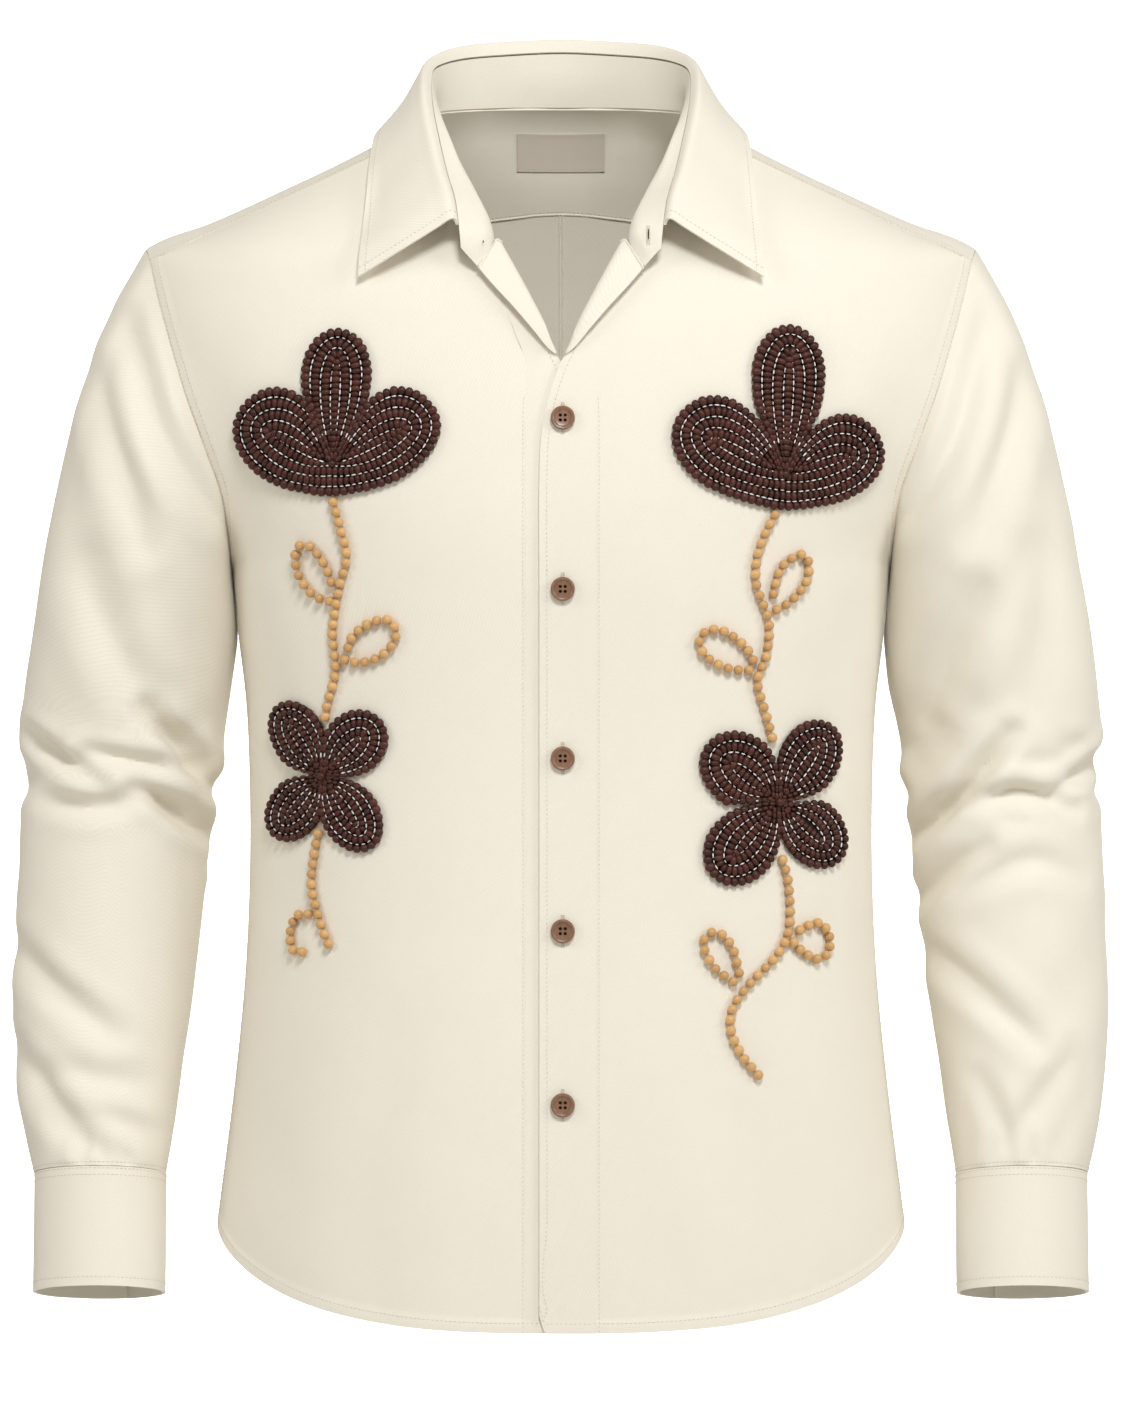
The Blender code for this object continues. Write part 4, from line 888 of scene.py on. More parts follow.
class BodyForm:
    """Front and back of the body as depth over width and height."""

    def __init__(self) -> None:
        """Sets up the smooth sections from the tables."""
        low = np.array(TORSO, float) * MM
        up = np.array(UPPER, float) * MM
        heights = np.concatenate([low[:, 0], up[:, 0]])
        self.width = curve(low[:, 0], low[:, 1])
        self.front_depth = curve(heights, np.concatenate([low[:, 2], up[:, 1]]))
        self.back_depth = curve(heights, np.concatenate([low[:, 3], up[:, 2]]))
        self.arm_front = np.array(ARM_FRONT, float) * MM
        self.arm_back = np.array(ARM_BACK, float) * MM
        self.front_width = self.side_width(low, ARM_FRONT[1:] + YOKE_FRONT, self.front_depth)
        self.back_width = self.side_width(low, ARM_BACK[1:] + YOKE_BACK, self.back_depth)

    @staticmethod
    def side_width(low: np.ndarray, edge: tuple, full_depth: Callable) -> Callable:
        """Half width of the section at every height, passing the armhole's edge points.

        Args:
            low: sections from hem to underarm.
            edge: rows of height, half width and depth.
            full_depth: depth at the centre over height.

        Returns:
            The half width over height.
        """
        edge = np.array(edge, float) * MM
        wide = virtual_width(edge[:, 1], edge[:, 2], full_depth(edge[:, 0]))
        return curve(np.concatenate([low[:, 0], edge[:, 0]]), np.concatenate([low[:, 1], wide]))

    def front(self, x: np.ndarray, z: np.ndarray) -> np.ndarray:
        """Depth of the front at x and z."""
        share = np.clip(np.abs(x) / self.front_width(z), 0, 1) ** FULLNESS
        return -self.front_depth(z) * np.sqrt(1 - share)

    def back(self, x: np.ndarray, z: np.ndarray) -> np.ndarray:
        """Depth of the back at x and z."""
        share = np.clip(np.abs(x) / self.back_width(z), 0, 1) ** FULLNESS
        return self.back_depth(z) * np.sqrt(1 - share)

    def arm_edge(self, edge: np.ndarray, z: float) -> tuple:
        """Half width and depth of the armhole edge at a height above the underarm."""
        return np.interp(z, edge[:, 0], edge[:, 1]), np.interp(z, edge[:, 0], edge[:, 2])

    def row(self, at_front: bool, inner: float, z_in: float, z_out: float,
            columns: np.ndarray) -> np.ndarray:
        """One row across half of a front or back, from its inner edge to the side.

        Args:
            at_front: whether it is on the front.
            inner: x of its inner edge.
            z_in: height there.
            z_out: height at the side.
            columns: shares of the way round.

        Returns:
            A point for each share.
        """
        edge = self.arm_front if at_front else self.arm_back
        wide = (self.front_width if at_front else self.back_width)(z_out)
        outer, depth = self.width(z_out), 0.0
        if z_out > edge[0, 0]:
            outer, depth = self.arm_edge(edge, z_out)
        start = math.asin((inner / wide) ** (FULLNESS / 2))
        end = math.asin(min(1, (outer / wide)) ** (FULLNESS / 2))
        x = wide * np.sin(start + (end - start) * columns) ** (2 / FULLNESS)
        level = (x - inner) / (outer - inner)
        low = np.clip((z_out + 0.48) / -0.17, 0, 1)
        level = (1 - low) * level + low * hem_rise(x / outer)
        z = z_in + (z_out - z_in) * level
        y = self.front(x, z) if at_front else self.back(x, z)
        sign = -1 if at_front else 1
        y = y + (sign * depth - y[-1]) * columns ** 5
        return np.stack([x, y, z], axis=1)

    def front_grid(self) -> np.ndarray:
        """Panel of the upper front at positive x, from band seam to side seam.

        Returns:
            Rows of points, the lowest first.
        """
        columns = np.linspace(0, 1, 10)
        seam = np.array(BAND_TURN, float)[:, :2] * MM
        neck = np.array(NECK_FRONT, float) * MM
        heights = np.concatenate([[V_BOTTOM], seam[:, 1], neck[1:, 0]])
        widths = np.concatenate([[BAND_SEAM], seam[:, 0], neck[1:, 1]])
        return np.array([
            self.row(True, float(np.interp(z_in, heights, widths)), z_in, z_out, columns)
            for z_in, z_out in np.array(FRONT_ROWS) * MM])

    def back_grid(self) -> np.ndarray:
        """Whole back, with columns at both sides of each edge of its box pleat.

        Returns:
            Rows of points, the lowest first.
        """
        pleat = np.array([PLEAT_HALF - PLEAT_EDGE, PLEAT_HALF])
        rest = np.linspace(0.12, 1, 8)
        rows = []
        for z_in, z_out in np.array(BACK_ROWS) * MM:
            wide = self.back_width(z_out)
            below = z_out <= self.arm_back[0, 0]
            side = self.width(z_out) if below else self.arm_edge(self.arm_back, z_out)[0]
            end = math.asin(min(1, side / wide) ** (FULLNESS / 2))
            near = np.arcsin((pleat / wide) ** (FULLNESS / 2)) / end
            half = np.concatenate([[0], near, rest])
            rows.append(self.row(False, 1e-6, z_in, z_out, half))
        right = np.array(rows)
        end_z, end_x, end_y = self.arm_back[-1]
        centre_z = BACK_ROWS[-1][0] * MM
        top = right[-1]
        top[:, 2] = centre_z + (end_z - centre_z) * (top[:, 0] / end_x) ** 1.6
        top[:, 1] = self.back(top[:, 0], top[:, 2])
        top[-1] = (end_x, end_y, end_z)
        left = (right * np.array([-1, 1, 1]))[:, :0:-1]
        return np.concatenate([right[:, ::-1], left[:, ::-1]], axis=1)

    def band_grid(self, side: Side) -> np.ndarray:
        """Front band from its seam to its free edge, turned out above the V.

        Args:
            side: which band, the under one lies deeper.

        Returns:
            Rows of points at positive x.
        """
        flat_columns = np.array([0, 0.3, 0.6, 0.75, 0.81, 0.86, 0.91, 0.955, 1.0])
        fold_columns = np.array([0, 0.33, 0.66, 0.90, 0.92, 0.94, 0.96, 0.98, 1.0])
        rows = []
        for z in np.array(BAND_ROWS) * MM:
            edge = float(np.interp(z, *BAND_EDGE_CURVE)) * MM
            top = BUTTON_HEIGHTS[0] * MM
            folded = np.clip((z - top) / (V_BOTTOM - top), 0, 1)
            share = flat_columns + (fold_columns - flat_columns) * folded
            x = BAND_SEAM + (edge - BAND_SEAM) * share
            height = np.full(len(x), z)
            if z < -0.70:
                height = z + CORNER_RISE * np.clip((share - 0.86) / 0.14, 0, 1) ** 2
            rows.append(np.stack([x, self.front(x, height), height], axis=1))
        for row in np.array(BAND_TURN) * MM:
            start, roll, free = row[:2], row[2:4], row[4:]
            turned = np.linalg.norm(free - roll)
            toward = unit(roll - start)
            back = (free - roll) / turned
            radius = ROLL_RADIUS * min(1, turned / ROLL_START)
            points = [(start + (roll - start) * d, 0.0) for d in (0, 0.4, 0.8)]
            for angle in np.array([0, 0.33, 0.67, 1.0]) * math.pi:
                rise = radius * (1 - math.cos(angle))
                points.append((roll + toward * radius * math.sin(angle), rise))
            for far in (0.5 * turned, turned):
                points.append((roll + back * far, 2 * radius + far * TURNED_RISE))
            rows.append([(x, float(self.front(x, z)) - lift, z) for (x, z), lift in points])
        grid = np.array(rows)
        if side is Side.RIGHT:
            grid[..., 1] += LAP_DROP * below_v(grid[..., 2])
        return grid[:, ::-1]

    def yoke_half(self, front_top: np.ndarray, back_top: np.ndarray) -> np.ndarray:
        """Columns of the yoke from the armhole to the centre back, over the shoulder.

        Args:
            front_top: the fronts' upper edge, from the band to the side.
            back_top: the back's upper edge, from the side to the centre.

        Returns:
            Rows from front to back, columns from armhole to centre.
        """
        steps = np.linspace(0, 1, 5)
        neck = path(np.array(NECK_BACK) * MM, 9)
        starts = np.concatenate([front_top[::-1][:-1], neck])
        last = len(back_top) - 1
        reach = np.concatenate([np.arange(0, last - 3, 0.5),
                                [last - 3, last - 2.5, last - 2, last - 1, last]])
        reach = np.interp(np.linspace(0, 1, len(starts)), np.linspace(0, 1, len(reach)), reach)
        shoulder = len(front_top) - 1
        columns = []
        for k, a in enumerate(starts):
            b = np.array([np.interp(reach[k], np.arange(last + 1), back_top[:, i]) for i in range(3)])
            chord = np.linalg.norm(b - a)
            over = np.array([0.45 * (k / shoulder) ** 3, 0.90, YOKE_RISE * (1 - 0.55 * k / shoulder)])
            if k >= shoulder:
                before, after = starts[max(k - 1, shoulder)], starts[min(k + 1, len(starts) - 1)]
                outward = unit(np.array([after[1] - before[1], before[0] - after[0], 0]))
                outward[2] = -SHOULDER_SLOPE * abs(outward[0])
                fade = min(1, (k - shoulder) / 3)
                over = over * (1 - fade) + (0.6 * outward + 0.6 * (b - a) / chord) * fade
                over[2] += 0.04
            reach_out = 1.5 - 0.5 * min(1, k / shoulder) ** 2
            down = np.array([0, 0.42, -0.90])
            columns.append(hermite(a, over * chord * reach_out, b, down * chord * reach_out, steps))
        grid = np.array(columns)
        edge = np.concatenate([grid[0, :1], np.array(SHOULDER_EDGE) * MM, grid[0, -1:]])
        grid[-1, :, 0] = 0
        shift = edge - grid[0]
        for k in range(len(grid)):
            grid[k] += shift * max(0, 1 - k / 6) ** 2
        return grid.transpose(1, 0, 2)


class SleeveForm:
    """Sleeve and cuff as rings round the arm, at positive x."""

    @staticmethod
    def ring(row: tuple, angles: np.ndarray) -> np.ndarray:
        """One ring of the sleeve.

        Args:
            row: height, inner x, outer x, middle y, half depth and forward tilt.
            angles: directions round it, 0 outwards and a quarter turn to the front.

        Returns:
            A point for each angle.
        """
        z, x_in, x_out, y_mid, half_depth, tilt = row
        lean = math.radians(tilt)
        across = (x_out - x_in) / 2 * MM
        x = (x_in + x_out) / 2 * MM + across * np.cos(angles)
        forward = -np.sin(angles) * half_depth * MM
        y = y_mid * MM + forward * math.cos(lean)
        height = z * MM - forward * math.sin(lean)
        return np.stack([x, y, height], axis=1)

    @staticmethod
    def crease(grid: np.ndarray, angles: np.ndarray) -> np.ndarray:
        """Presses the sleeve's large troughs and ridges into its rings.

        Args:
            grid: the rings.
            angles: direction of each point round the sleeve.

        Returns:
            The new rings.
        """
        normals = grid_normals(grid, wrap=True)
        degrees = np.degrees(angles) % 360
        height = grid[..., 2] / MM
        push = np.zeros(grid.shape[:2])
        for angle, z, tilt, half_length, half_width, depth in SLEEVE_FOLDS:
            away = (degrees - angle + 180) % 360 - 180
            along = np.exp(-(away / half_length) ** 2)[None, :]
            across = np.exp(-((height - (z + tilt * away)[None, :]) / half_width) ** 2)
            push += depth * MM * along * across
        return grid - normals * push[..., None]

    def sleeve(self, armhole: np.ndarray) -> np.ndarray:
        """Rings from the armhole edge to the cuff seam.

        Args:
            armhole: the closed edge of the body, front first.

        Returns:
            Rows of rings.
        """
        run = np.linalg.norm(np.roll(armhole, -1, axis=0) - armhole, axis=1)
        top = int(np.argmax(armhole[:, 2]))
        turned = np.concatenate([[0], np.cumsum(run)[:-1]])
        whole = run.sum()
        angles = np.where(np.arange(len(armhole)) <= top, math.pi * (1 - turned / turned[top]),
                          -math.pi * (turned - turned[top]) / (whole - turned[top]))
        start = armhole + np.array([0.96, 0, -0.27]) * SEAM_GAP * 1.1
        target = self.ring(SLEEVE[0], angles)
        arrive = unit(self.ring(SLEEVE[1], angles) - target)
        outer = (1 + np.cos(angles)) / 2
        lean = np.stack([0.02 + 0.52 * outer ** 0.6, -0.22 * np.sin(angles), -0.86 + 0 * outer], axis=1)
        chord = np.linalg.norm(target - start, axis=1, keepdims=True)
        rings = [hermite(start, lean * chord, target, arrive * chord, np.array([v]))
                 for v in np.linspace(0, 1, 8)[:-1]]
        rings += [self.ring(row, angles) for row in SLEEVE]
        return self.crease(np.array(rings)[:, ::-1], angles[::-1])

    def cuff(self) -> np.ndarray:
        """Cuff band wound once round with its ends lapped at the back.

        Returns:
            Rows of points, the highest first.
        """
        lap = math.radians(38)
        turn = np.linspace(0, 2 * math.pi + lap, 25)
        under = np.clip(1 - turn / (lap * 1.5), 0, 1)
        drop = (CUFF_CLOTH + 1.4 * SEAM_GAP) * np.clip(under * 3, 0, 1)
        rings = []
        for row in CUFF:
            ring = self.ring(row, math.radians(-113) + turn)
            centre = self.ring(row, np.array([0, math.pi])).mean(axis=0)
            rings.append(ring - unit(ring - centre) * drop[:, None])
        return np.array(rings)

    def button_seat(self) -> tuple:
        """Place and outward direction of the button on the lapped ends of a cuff.

        Returns:
            The place and the direction.
        """
        angles = np.radians([-100.0, -104.0])
        spot, beside = self.ring(CUFF[1], angles)
        above = self.ring(CUFF[0], angles)[0]
        out = unit(np.cross(beside - spot, above - spot))
        if out[1] < 0:
            out = -out
        return spot + out * SEAM_GAP * 2, out


@dataclass
class Panel:
    """One cut piece of cloth: a fine grid of its outer face and all that is worked from it."""

    name: str
    coarse: np.ndarray
    wrap: bool = False
    thickness: float = CLOTH
    target: float = 3.6 * MM
    first_rows: tuple = ()
    last_rows: tuple = ()
    first_columns: tuple = ()
    last_columns: tuple = ()
    held: str = "hung"

    def __post_init__(self) -> None:
        """Works out the fine grid, its map in metres and its normals."""
        rows = marks(lengths_of(self.coarse), self.target, self.first_rows, self.last_rows)
        across = self.coarse.swapaxes(0, 1)
        if self.wrap:
            across = np.concatenate([across, across[:1]])
        columns = marks(lengths_of(across), self.target, self.first_columns, self.last_columns)
        if self.wrap:
            columns = columns[:-1]
        grid = spline(self.coarse, rows)
        self.grid = spline(grid.swapaxes(0, 1), columns, self.wrap).swapaxes(0, 1)
        self.measure()
        self.normals = grid_normals(self.grid, self.wrap)
        self.relief = np.zeros(self.grid.shape[:2])

    def measure(self) -> None:
        """Maps the cloth flat: distance across and along from the first corner, in metres."""
        grid = self.grid
        if self.wrap:
            grid = np.concatenate([grid, grid[:, :1]], axis=1)
        u = np.linalg.norm(np.diff(grid, axis=1), axis=2)
        v = np.linalg.norm(np.diff(grid, axis=0), axis=2)
        self.across = np.concatenate([np.zeros((len(grid), 1)), np.cumsum(u, axis=1)], axis=1)
        self.along = np.concatenate([np.zeros((1, grid.shape[1])), np.cumsum(v, axis=0)])

    def from_edge(self, edge: Edge) -> np.ndarray:
        """Distance of every point from one edge.

        Args:
            edge: which edge.

        Returns:
            A distance for each point.
        """
        count = self.grid.shape[1]
        across, along = self.across[:, :count], self.along[:, :count]
        if edge is Edge.FIRST_ROW:
            return along
        if edge is Edge.LAST_ROW:
            return along[-1:] - along
        if edge is Edge.FIRST_COLUMN:
            return across
        return across[:, -1:] - across

    def fold(self, push: np.ndarray) -> None:
        """Moves the cloth inwards by a table of folds and works out its normals again."""
        self.grid = self.grid - self.normals * push[..., None]
        self.measure()
        self.normals = grid_normals(self.grid, self.wrap)

    def double(self, edge: Edge, width: float, rise: float = 0.7 * MM) -> None:
        """Raises a turned or felled strip along an edge.

        Args:
            edge: which edge.
            width: width of the strip.
            rise: how far it stands out.
        """
        away = self.from_edge(edge)
        self.relief = np.maximum(self.relief, rise * (1 - smooth_step(away, width - 0.2 * MM,
                                                                     width + 0.7 * MM)))

    def line(self, edge: Edge, away: float, start: float = 0.0, stop: float = 1.0) -> np.ndarray:
        """Line of sewing at a distance from an edge, on the outer face.

        Args:
            edge: which edge.
            away: distance from it.
            start: share of the edge where it starts.
            stop: share where it ends.

        Returns:
            Points with their normals, six numbers each.
        """
        distance = self.from_edge(edge)
        both = np.concatenate([self.outer, self.normals], axis=2)
        if edge in (Edge.FIRST_ROW, Edge.LAST_ROW):
            distance, both = distance.T, both.swapaxes(0, 1)
        found = []
        for far, row in zip(distance, both):
            order = np.argsort(far)
            found.append([np.interp(away, far[order], row[order, k]) for k in range(6)])
        count = len(found)
        return np.array(found[int(start * count):max(2, int(stop * count))])

    @property
    def outer(self) -> np.ndarray:
        """The outer face with its raised strips."""
        return self.grid + self.normals * self.relief[..., None]

    @property
    def inner(self) -> np.ndarray:
        """The inner face."""
        return self.grid - self.normals * self.thickness

    def build(self, finish: bpy.types.Material) -> bpy.types.Object:
        """Makes the closed wall and rides it on the shirt.

        Args:
            finish: the cloth.

        Returns:
            The new object.
        """
        made = wall_object(f"cloth_{self.name}", self.outer, self.inner, self.across, self.along,
                           self.wrap, finish)
        place_piece(made, "cream_twill", self.name)
        declare_cut(self.grid, self.wrap)
        LOG.info("%s: %d points a face", self.name, self.grid.shape[0] * self.grid.shape[1])
        return made


def wall_object(name: str, outer: np.ndarray, inner: np.ndarray, across: np.ndarray,
                along: np.ndarray, wrap: bool, finish: bpy.types.Material) -> bpy.types.Object:
    """Closed wall between two grids, with its flat map as UVs in metres.

    Args:
        name: name of the object.
        outer: points of the outer face.
        inner: points of the inner face.
        across: distance across of each column.
        along: distance along of each row.
        wrap: whether the columns close into a ring.
        finish: its material.

    Returns:
        The new object.
    """
    rows, columns = outer.shape[:2]
    half = rows * columns
    last = columns if wrap else columns - 1
    i, j = np.meshgrid(np.arange(rows - 1), np.arange(last), indexing="ij")
    i, j = i.ravel(), j.ravel()
    k = (j + 1) % columns

    def corner(row: np.ndarray, column: np.ndarray, lift: int = 0) -> np.ndarray:
        """Numbers of points of the outer face, or of the inner one where lift is 1."""
        return row * columns + column + lift * half

    quads = [np.stack([corner(i, j), corner(i, k), corner(i + 1, k), corner(i + 1, j)], axis=1)]
    spots = [np.stack([i, j, i, j + 1, i + 1, j + 1, i + 1, j], axis=1)]
    quads.append(quads[0][:, ::-1] + half)
    spots.append(spots[0].reshape(-1, 4, 2)[:, ::-1].reshape(-1, 8))
    rim = [(np.zeros(last, int), np.arange(last), 0, 1), (np.full(last, rows - 1), np.arange(last), 0, 1)]
    if not wrap:
        rim += [(np.arange(rows - 1), np.zeros(rows - 1, int), 1, 0),
                (np.arange(rows - 1), np.full(rows - 1, columns - 1), 1, 0)]
    for a, b, down, right in rim:
        c, d = a + down, (b + right)
        e = d % columns
        quads.append(np.stack([corner(a, b), corner(a, b, 1), corner(c, e, 1), corner(c, e)], axis=1))
        spots.append(np.stack([a, b, a, b, c, d, c, d], axis=1))
    quads = np.concatenate(quads)
    spots = np.concatenate(spots).reshape(-1, 2)
    verts = np.concatenate([outer.reshape(-1, 3), inner.reshape(-1, 3)])
    mesh = bpy.data.meshes.new(name)
    mesh.from_pydata(verts.tolist(), [], quads.tolist())
    layer = mesh.uv_layers.new(name="cloth")
    flat = np.stack([across[spots[:, 0], spots[:, 1]], along[spots[:, 0], spots[:, 1]]], axis=1)
    layer.data.foreach_set("uv", flat.astype(np.float32).ravel())
    return finish_object(name, mesh, finish, 50.0)


def finish_object(name: str, mesh: bpy.types.Mesh, finish: bpy.types.Material,
                  sharp: float) -> bpy.types.Object:
    """Turns a mesh's faces outwards, smooths it and links it.

    Args:
        name: name of the object.
        mesh: its mesh.
        finish: its material.
        sharp: edges over this angle stay sharp, in degrees.

    Returns:
        The new object.
    """
    shape = bmesh.new()
    shape.from_mesh(mesh)
    bmesh.ops.recalc_face_normals(shape, faces=shape.faces)
    shape.to_mesh(mesh)
    shape.free()
    mesh.shade_smooth()
    mesh.set_sharp_from_angle(angle=math.radians(sharp))
    mesh.materials.append(finish)
    made = bpy.data.objects.new(name, mesh)
    bpy.context.collection.objects.link(made)
    return made


def place_piece(piece: bpy.types.Object, slot: str, *nodes: str) -> None:
    """Rides a piece on the shirt and hides the solids that it stands for.

    Args:
        piece: the object.
        slot: not used.
        nodes: the solids.
    """
    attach(piece, "root")
    if nodes:
        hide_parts(*nodes)


def declare_cut(grid: np.ndarray,
                wrap: bool) -> None:
    """Closes a tube's grid into a ring of points and does nothing more with it.

    Args:
        grid: its points.
        wrap: whether it is a tube.
    """
    if wrap:
        grid = np.concatenate([grid, grid[:, :1]], axis=1)


def pull_in(grid: np.ndarray, rows: bool = True, columns: bool = True,
            gap: float = SEAM_GAP / 2) -> np.ndarray:
    """Draws the edges of a grid in by half a seam gap.

    Args:
        grid: rows of points.
        rows: whether its first and last row move.
        columns: whether its first and last column do.
        gap: how far they move.

    Returns:
        The new grid.
    """
    grid = grid.copy()

    def draw(edge: np.ndarray, inside: np.ndarray) -> np.ndarray:
        """Moves edge points towards their neighbours inside."""
        return edge + unit(inside - edge) * gap

    if rows:
        grid[0] = draw(grid[0], grid[1])
        grid[-1] = draw(grid[-1], grid[-2])
    if columns:
        grid[:, 0] = draw(grid[:, 0], grid[:, 1])
        grid[:, -1] = draw(grid[:, -1], grid[:, -2])
    return grid


def level_seams(panels: dict) -> None:
    """Makes the normals of neighbouring panels alike where their edges meet.

    Args:
        panels: the panels by name.
    """
    edges = {}
    for name, panel in panels.items():
        border = np.zeros(panel.grid.shape[:2], bool)
        border[0] = border[-1] = True
        if not panel.wrap:
            border[:, 0] = border[:, -1] = True
        edges[name] = (border, panel.grid[border], panel.normals[border])
    for name, (border, spots, own) in edges.items():
        met = own.copy()
        for other, (_, far, theirs) in edges.items():
            if other == name:
                continue
            away = np.linalg.norm(spots[:, None] - far[None], axis=2)
            nearest = away.argmin(axis=1)
            close = (away.min(axis=1) < SEAM_REACH) & ((own * theirs[nearest]).sum(axis=1) > 0.2)
            met += theirs[nearest] * close[:, None]
        panels[name].normals[border] = unit(met)


class PointSetter:
    """Geometry Nodes tree that sets one small solid on every point of a mesh."""

    def __init__(self) -> None:
        """Builds the tree once, with named inputs for its sizes and seed."""
        self.tree = bpy.data.node_groups.new("set_small_solids", "GeometryNodeTree")
        face = self.tree.interface
        face.new_socket("Points", in_out="INPUT", socket_type="NodeSocketGeometry")
        for name, kind in (("Segments", "NodeSocketInt"), ("Rings", "NodeSocketInt"),
                           ("Uneven", "NodeSocketFloat"), ("Seed", "NodeSocketInt"),
                           ("Finish", "NodeSocketMaterial")):
            face.new_socket(name, in_out="INPUT", socket_type=kind)
        face.new_socket("Solids", in_out="OUTPUT", socket_type="NodeSocketGeometry")
        tree = NodeTree(self.tree)
        given = tree.add("NodeGroupInput").outputs
        ball = tree.add("GeometryNodeMeshUVSphere", {
            "Segments": given["Segments"], "Rings": given["Rings"], "Radius": 1.0}).outputs["Mesh"]
        smooth = tree.add("GeometryNodeSetShadeSmooth", {"Geometry": ball}).outputs[0]
        outward, toward, size = (
            tree.add("GeometryNodeInputNamedAttribute", {"Name": name},
                     data_type="FLOAT_VECTOR").outputs[0] for name in ("outward", "toward", "size"))
        stand = tree.add("FunctionNodeAlignRotationToVector", {"Vector": outward}, axis="Z").outputs[0]
        turn = tree.add("FunctionNodeAlignRotationToVector", {"Rotation": stand, "Vector": toward},
                        axis="X", pivot_axis="Z").outputs[0]
        low, high = (tree.add("ShaderNodeMath", {0: 1.0, 1: given["Uneven"]}, operation=way).outputs[0]
                     for way in ("SUBTRACT", "ADD"))
        vary = tree.add("FunctionNodeRandomValue", {2: low, 3: high, "Seed": given["Seed"]},
                        data_type="FLOAT").outputs[1]
        tone = tree.add("FunctionNodeRandomValue", {"Seed": given["Seed"]}, data_type="FLOAT").outputs[1]
        scale = tree.add("ShaderNodeVectorMath", {0: size, "Scale": vary}, operation="SCALE").outputs[0]
        put = tree.add("GeometryNodeInstanceOnPoints", {
            "Points": given["Points"], "Instance": smooth, "Rotation": turn, "Scale": scale}).outputs[0]
        keep = tree.add("GeometryNodeStoreNamedAttribute", {"Geometry": put, "Name": "tone", "Value": tone},
                        data_type="FLOAT", domain="INSTANCE").outputs[0]
        real = tree.add("GeometryNodeRealizeInstances", {"Geometry": keep}).outputs[0]
        colour = tree.add("GeometryNodeSetMaterial", {"Geometry": real, "Material": given["Finish"]})
        tree.add("NodeGroupOutput", {"Solids": colour.outputs[0]})

    def put(self, name: str, points: np.ndarray, finish: bpy.types.Material, segments: int = 8,
            rings: int = 5, uneven: float = 0.0, seed: int = 1) -> bpy.types.Object:
        """Makes a plain mesh of small solids.

        Args:
            name: name of the object.
            points: rows of place, outward, toward and half sizes, twelve numbers each.
            finish: their material.
            segments: faces round each solid.
            rings: faces from its base to its top.
            uneven: share by which sizes differ.
            seed: seed of the differences.

        Returns:
            The new object.
        """
        points = np.asarray(points, float)
        cloud = bpy.data.meshes.new(name + "_points")
        cloud.from_pydata(points[:, :3].tolist(), [], [])
        for k, field_name in enumerate(("outward", "toward", "size")):
            layer = cloud.attributes.new(field_name, "FLOAT_VECTOR", "POINT")
            part = points[:, 3 * k + 3:3 * k + 6].astype(np.float32)
            layer.data.foreach_set("vector", part.ravel())
        holder = bpy.data.objects.new(name + "_holder", cloud)
        bpy.context.collection.objects.link(holder)
        modifier = holder.modifiers.new("set", "NODES")
        modifier.node_group = self.tree
        wanted = {"Segments": segments, "Rings": rings, "Uneven": uneven, "Seed": seed,
                  "Finish": finish}
        for socket in self.tree.interface.items_tree:
            if socket.item_type == "SOCKET" and socket.name in wanted:
                modifier[socket.identifier] = wanted[socket.name]
        graph = bpy.context.evaluated_depsgraph_get()
        mesh = bpy.data.meshes.new_from_object(holder.evaluated_get(graph))
        mesh.name = name
        bpy.data.objects.remove(holder, do_unlink=True)
        made = bpy.data.objects.new(name, mesh)
        bpy.context.collection.objects.link(made)
        LOG.info("%s: %d small solids", name, len(points))
        return made


def stitches(line: np.ndarray, pitch: float = 2.6 * MM, length: float = 1.9 * MM,
             radius: float = 0.24 * MM, sink: float = 0.35) -> np.ndarray:
    """Stitches at an even pitch along a line of sewing.

    Args:
        line: points with their normals.
        pitch: distance from stitch to stitch.
        length: length of a stitch.
        radius: half its width.
        sink: share of its height that lies in the cloth.

    Returns:
        Rows for PointSetter.put.
    """
    run = run_of(line[:, :3])
    count = max(2, int(run[-1] / pitch))
    at = (np.arange(count) + 0.5) * run[-1] / count
    spots = np.stack([np.interp(at, run, line[:, k]) for k in range(6)], axis=1)
    toward = unit(np.gradient(spots[:, :3], axis=0))
    outward = unit(spots[:, 3:])
    size = np.tile([length / 2, radius, radius], (count, 1))
    return np.concatenate([spots[:, :3] + outward * radius * (1 - 2 * sink), outward, toward, size],
                          axis=1)


def grid_tree(*grids: np.ndarray) -> BVHTree:
    """Search tree of the faces of one or more grids of points.

    Args:
        grids: rows of points each.

    Returns:
        The tree.
    """
    verts, faces, shift = [], [], 0
    for grid in grids:
        rows, columns = grid.shape[:2]
        i, j = np.meshgrid(np.arange(rows - 1), np.arange(columns - 1), indexing="ij")
        a = (i * columns + j).ravel() + shift
        faces += np.stack([a, a + 1, a + columns + 1, a + columns], axis=1).tolist()
        verts += grid.reshape(-1, 3).tolist()
        shift = len(verts)
    return BVHTree.FromPolygons(verts, faces)


class Skin:
    """Outer face of the fronts, for what is sewn on them."""

    def __init__(self, *panels: Panel) -> None:
        """Collects the outer faces of the panels."""
        self.tree = grid_tree(*[panel.outer for panel in panels])

    def at(self, spots: np.ndarray) -> np.ndarray:
        """Places on the cloth and its normals.

        Args:
            spots: x and z of each.

        Returns:
            Rows of six numbers.
        """
        found = []
        for x, z in spots:
            hit, normal, _, _ = self.tree.ray_cast(Vector((x, -0.3, z)), Vector((0, 1, 0)))
            if normal.y > 0:
                normal = -normal
            found.append((*hit, *normal))
        return np.array(found)


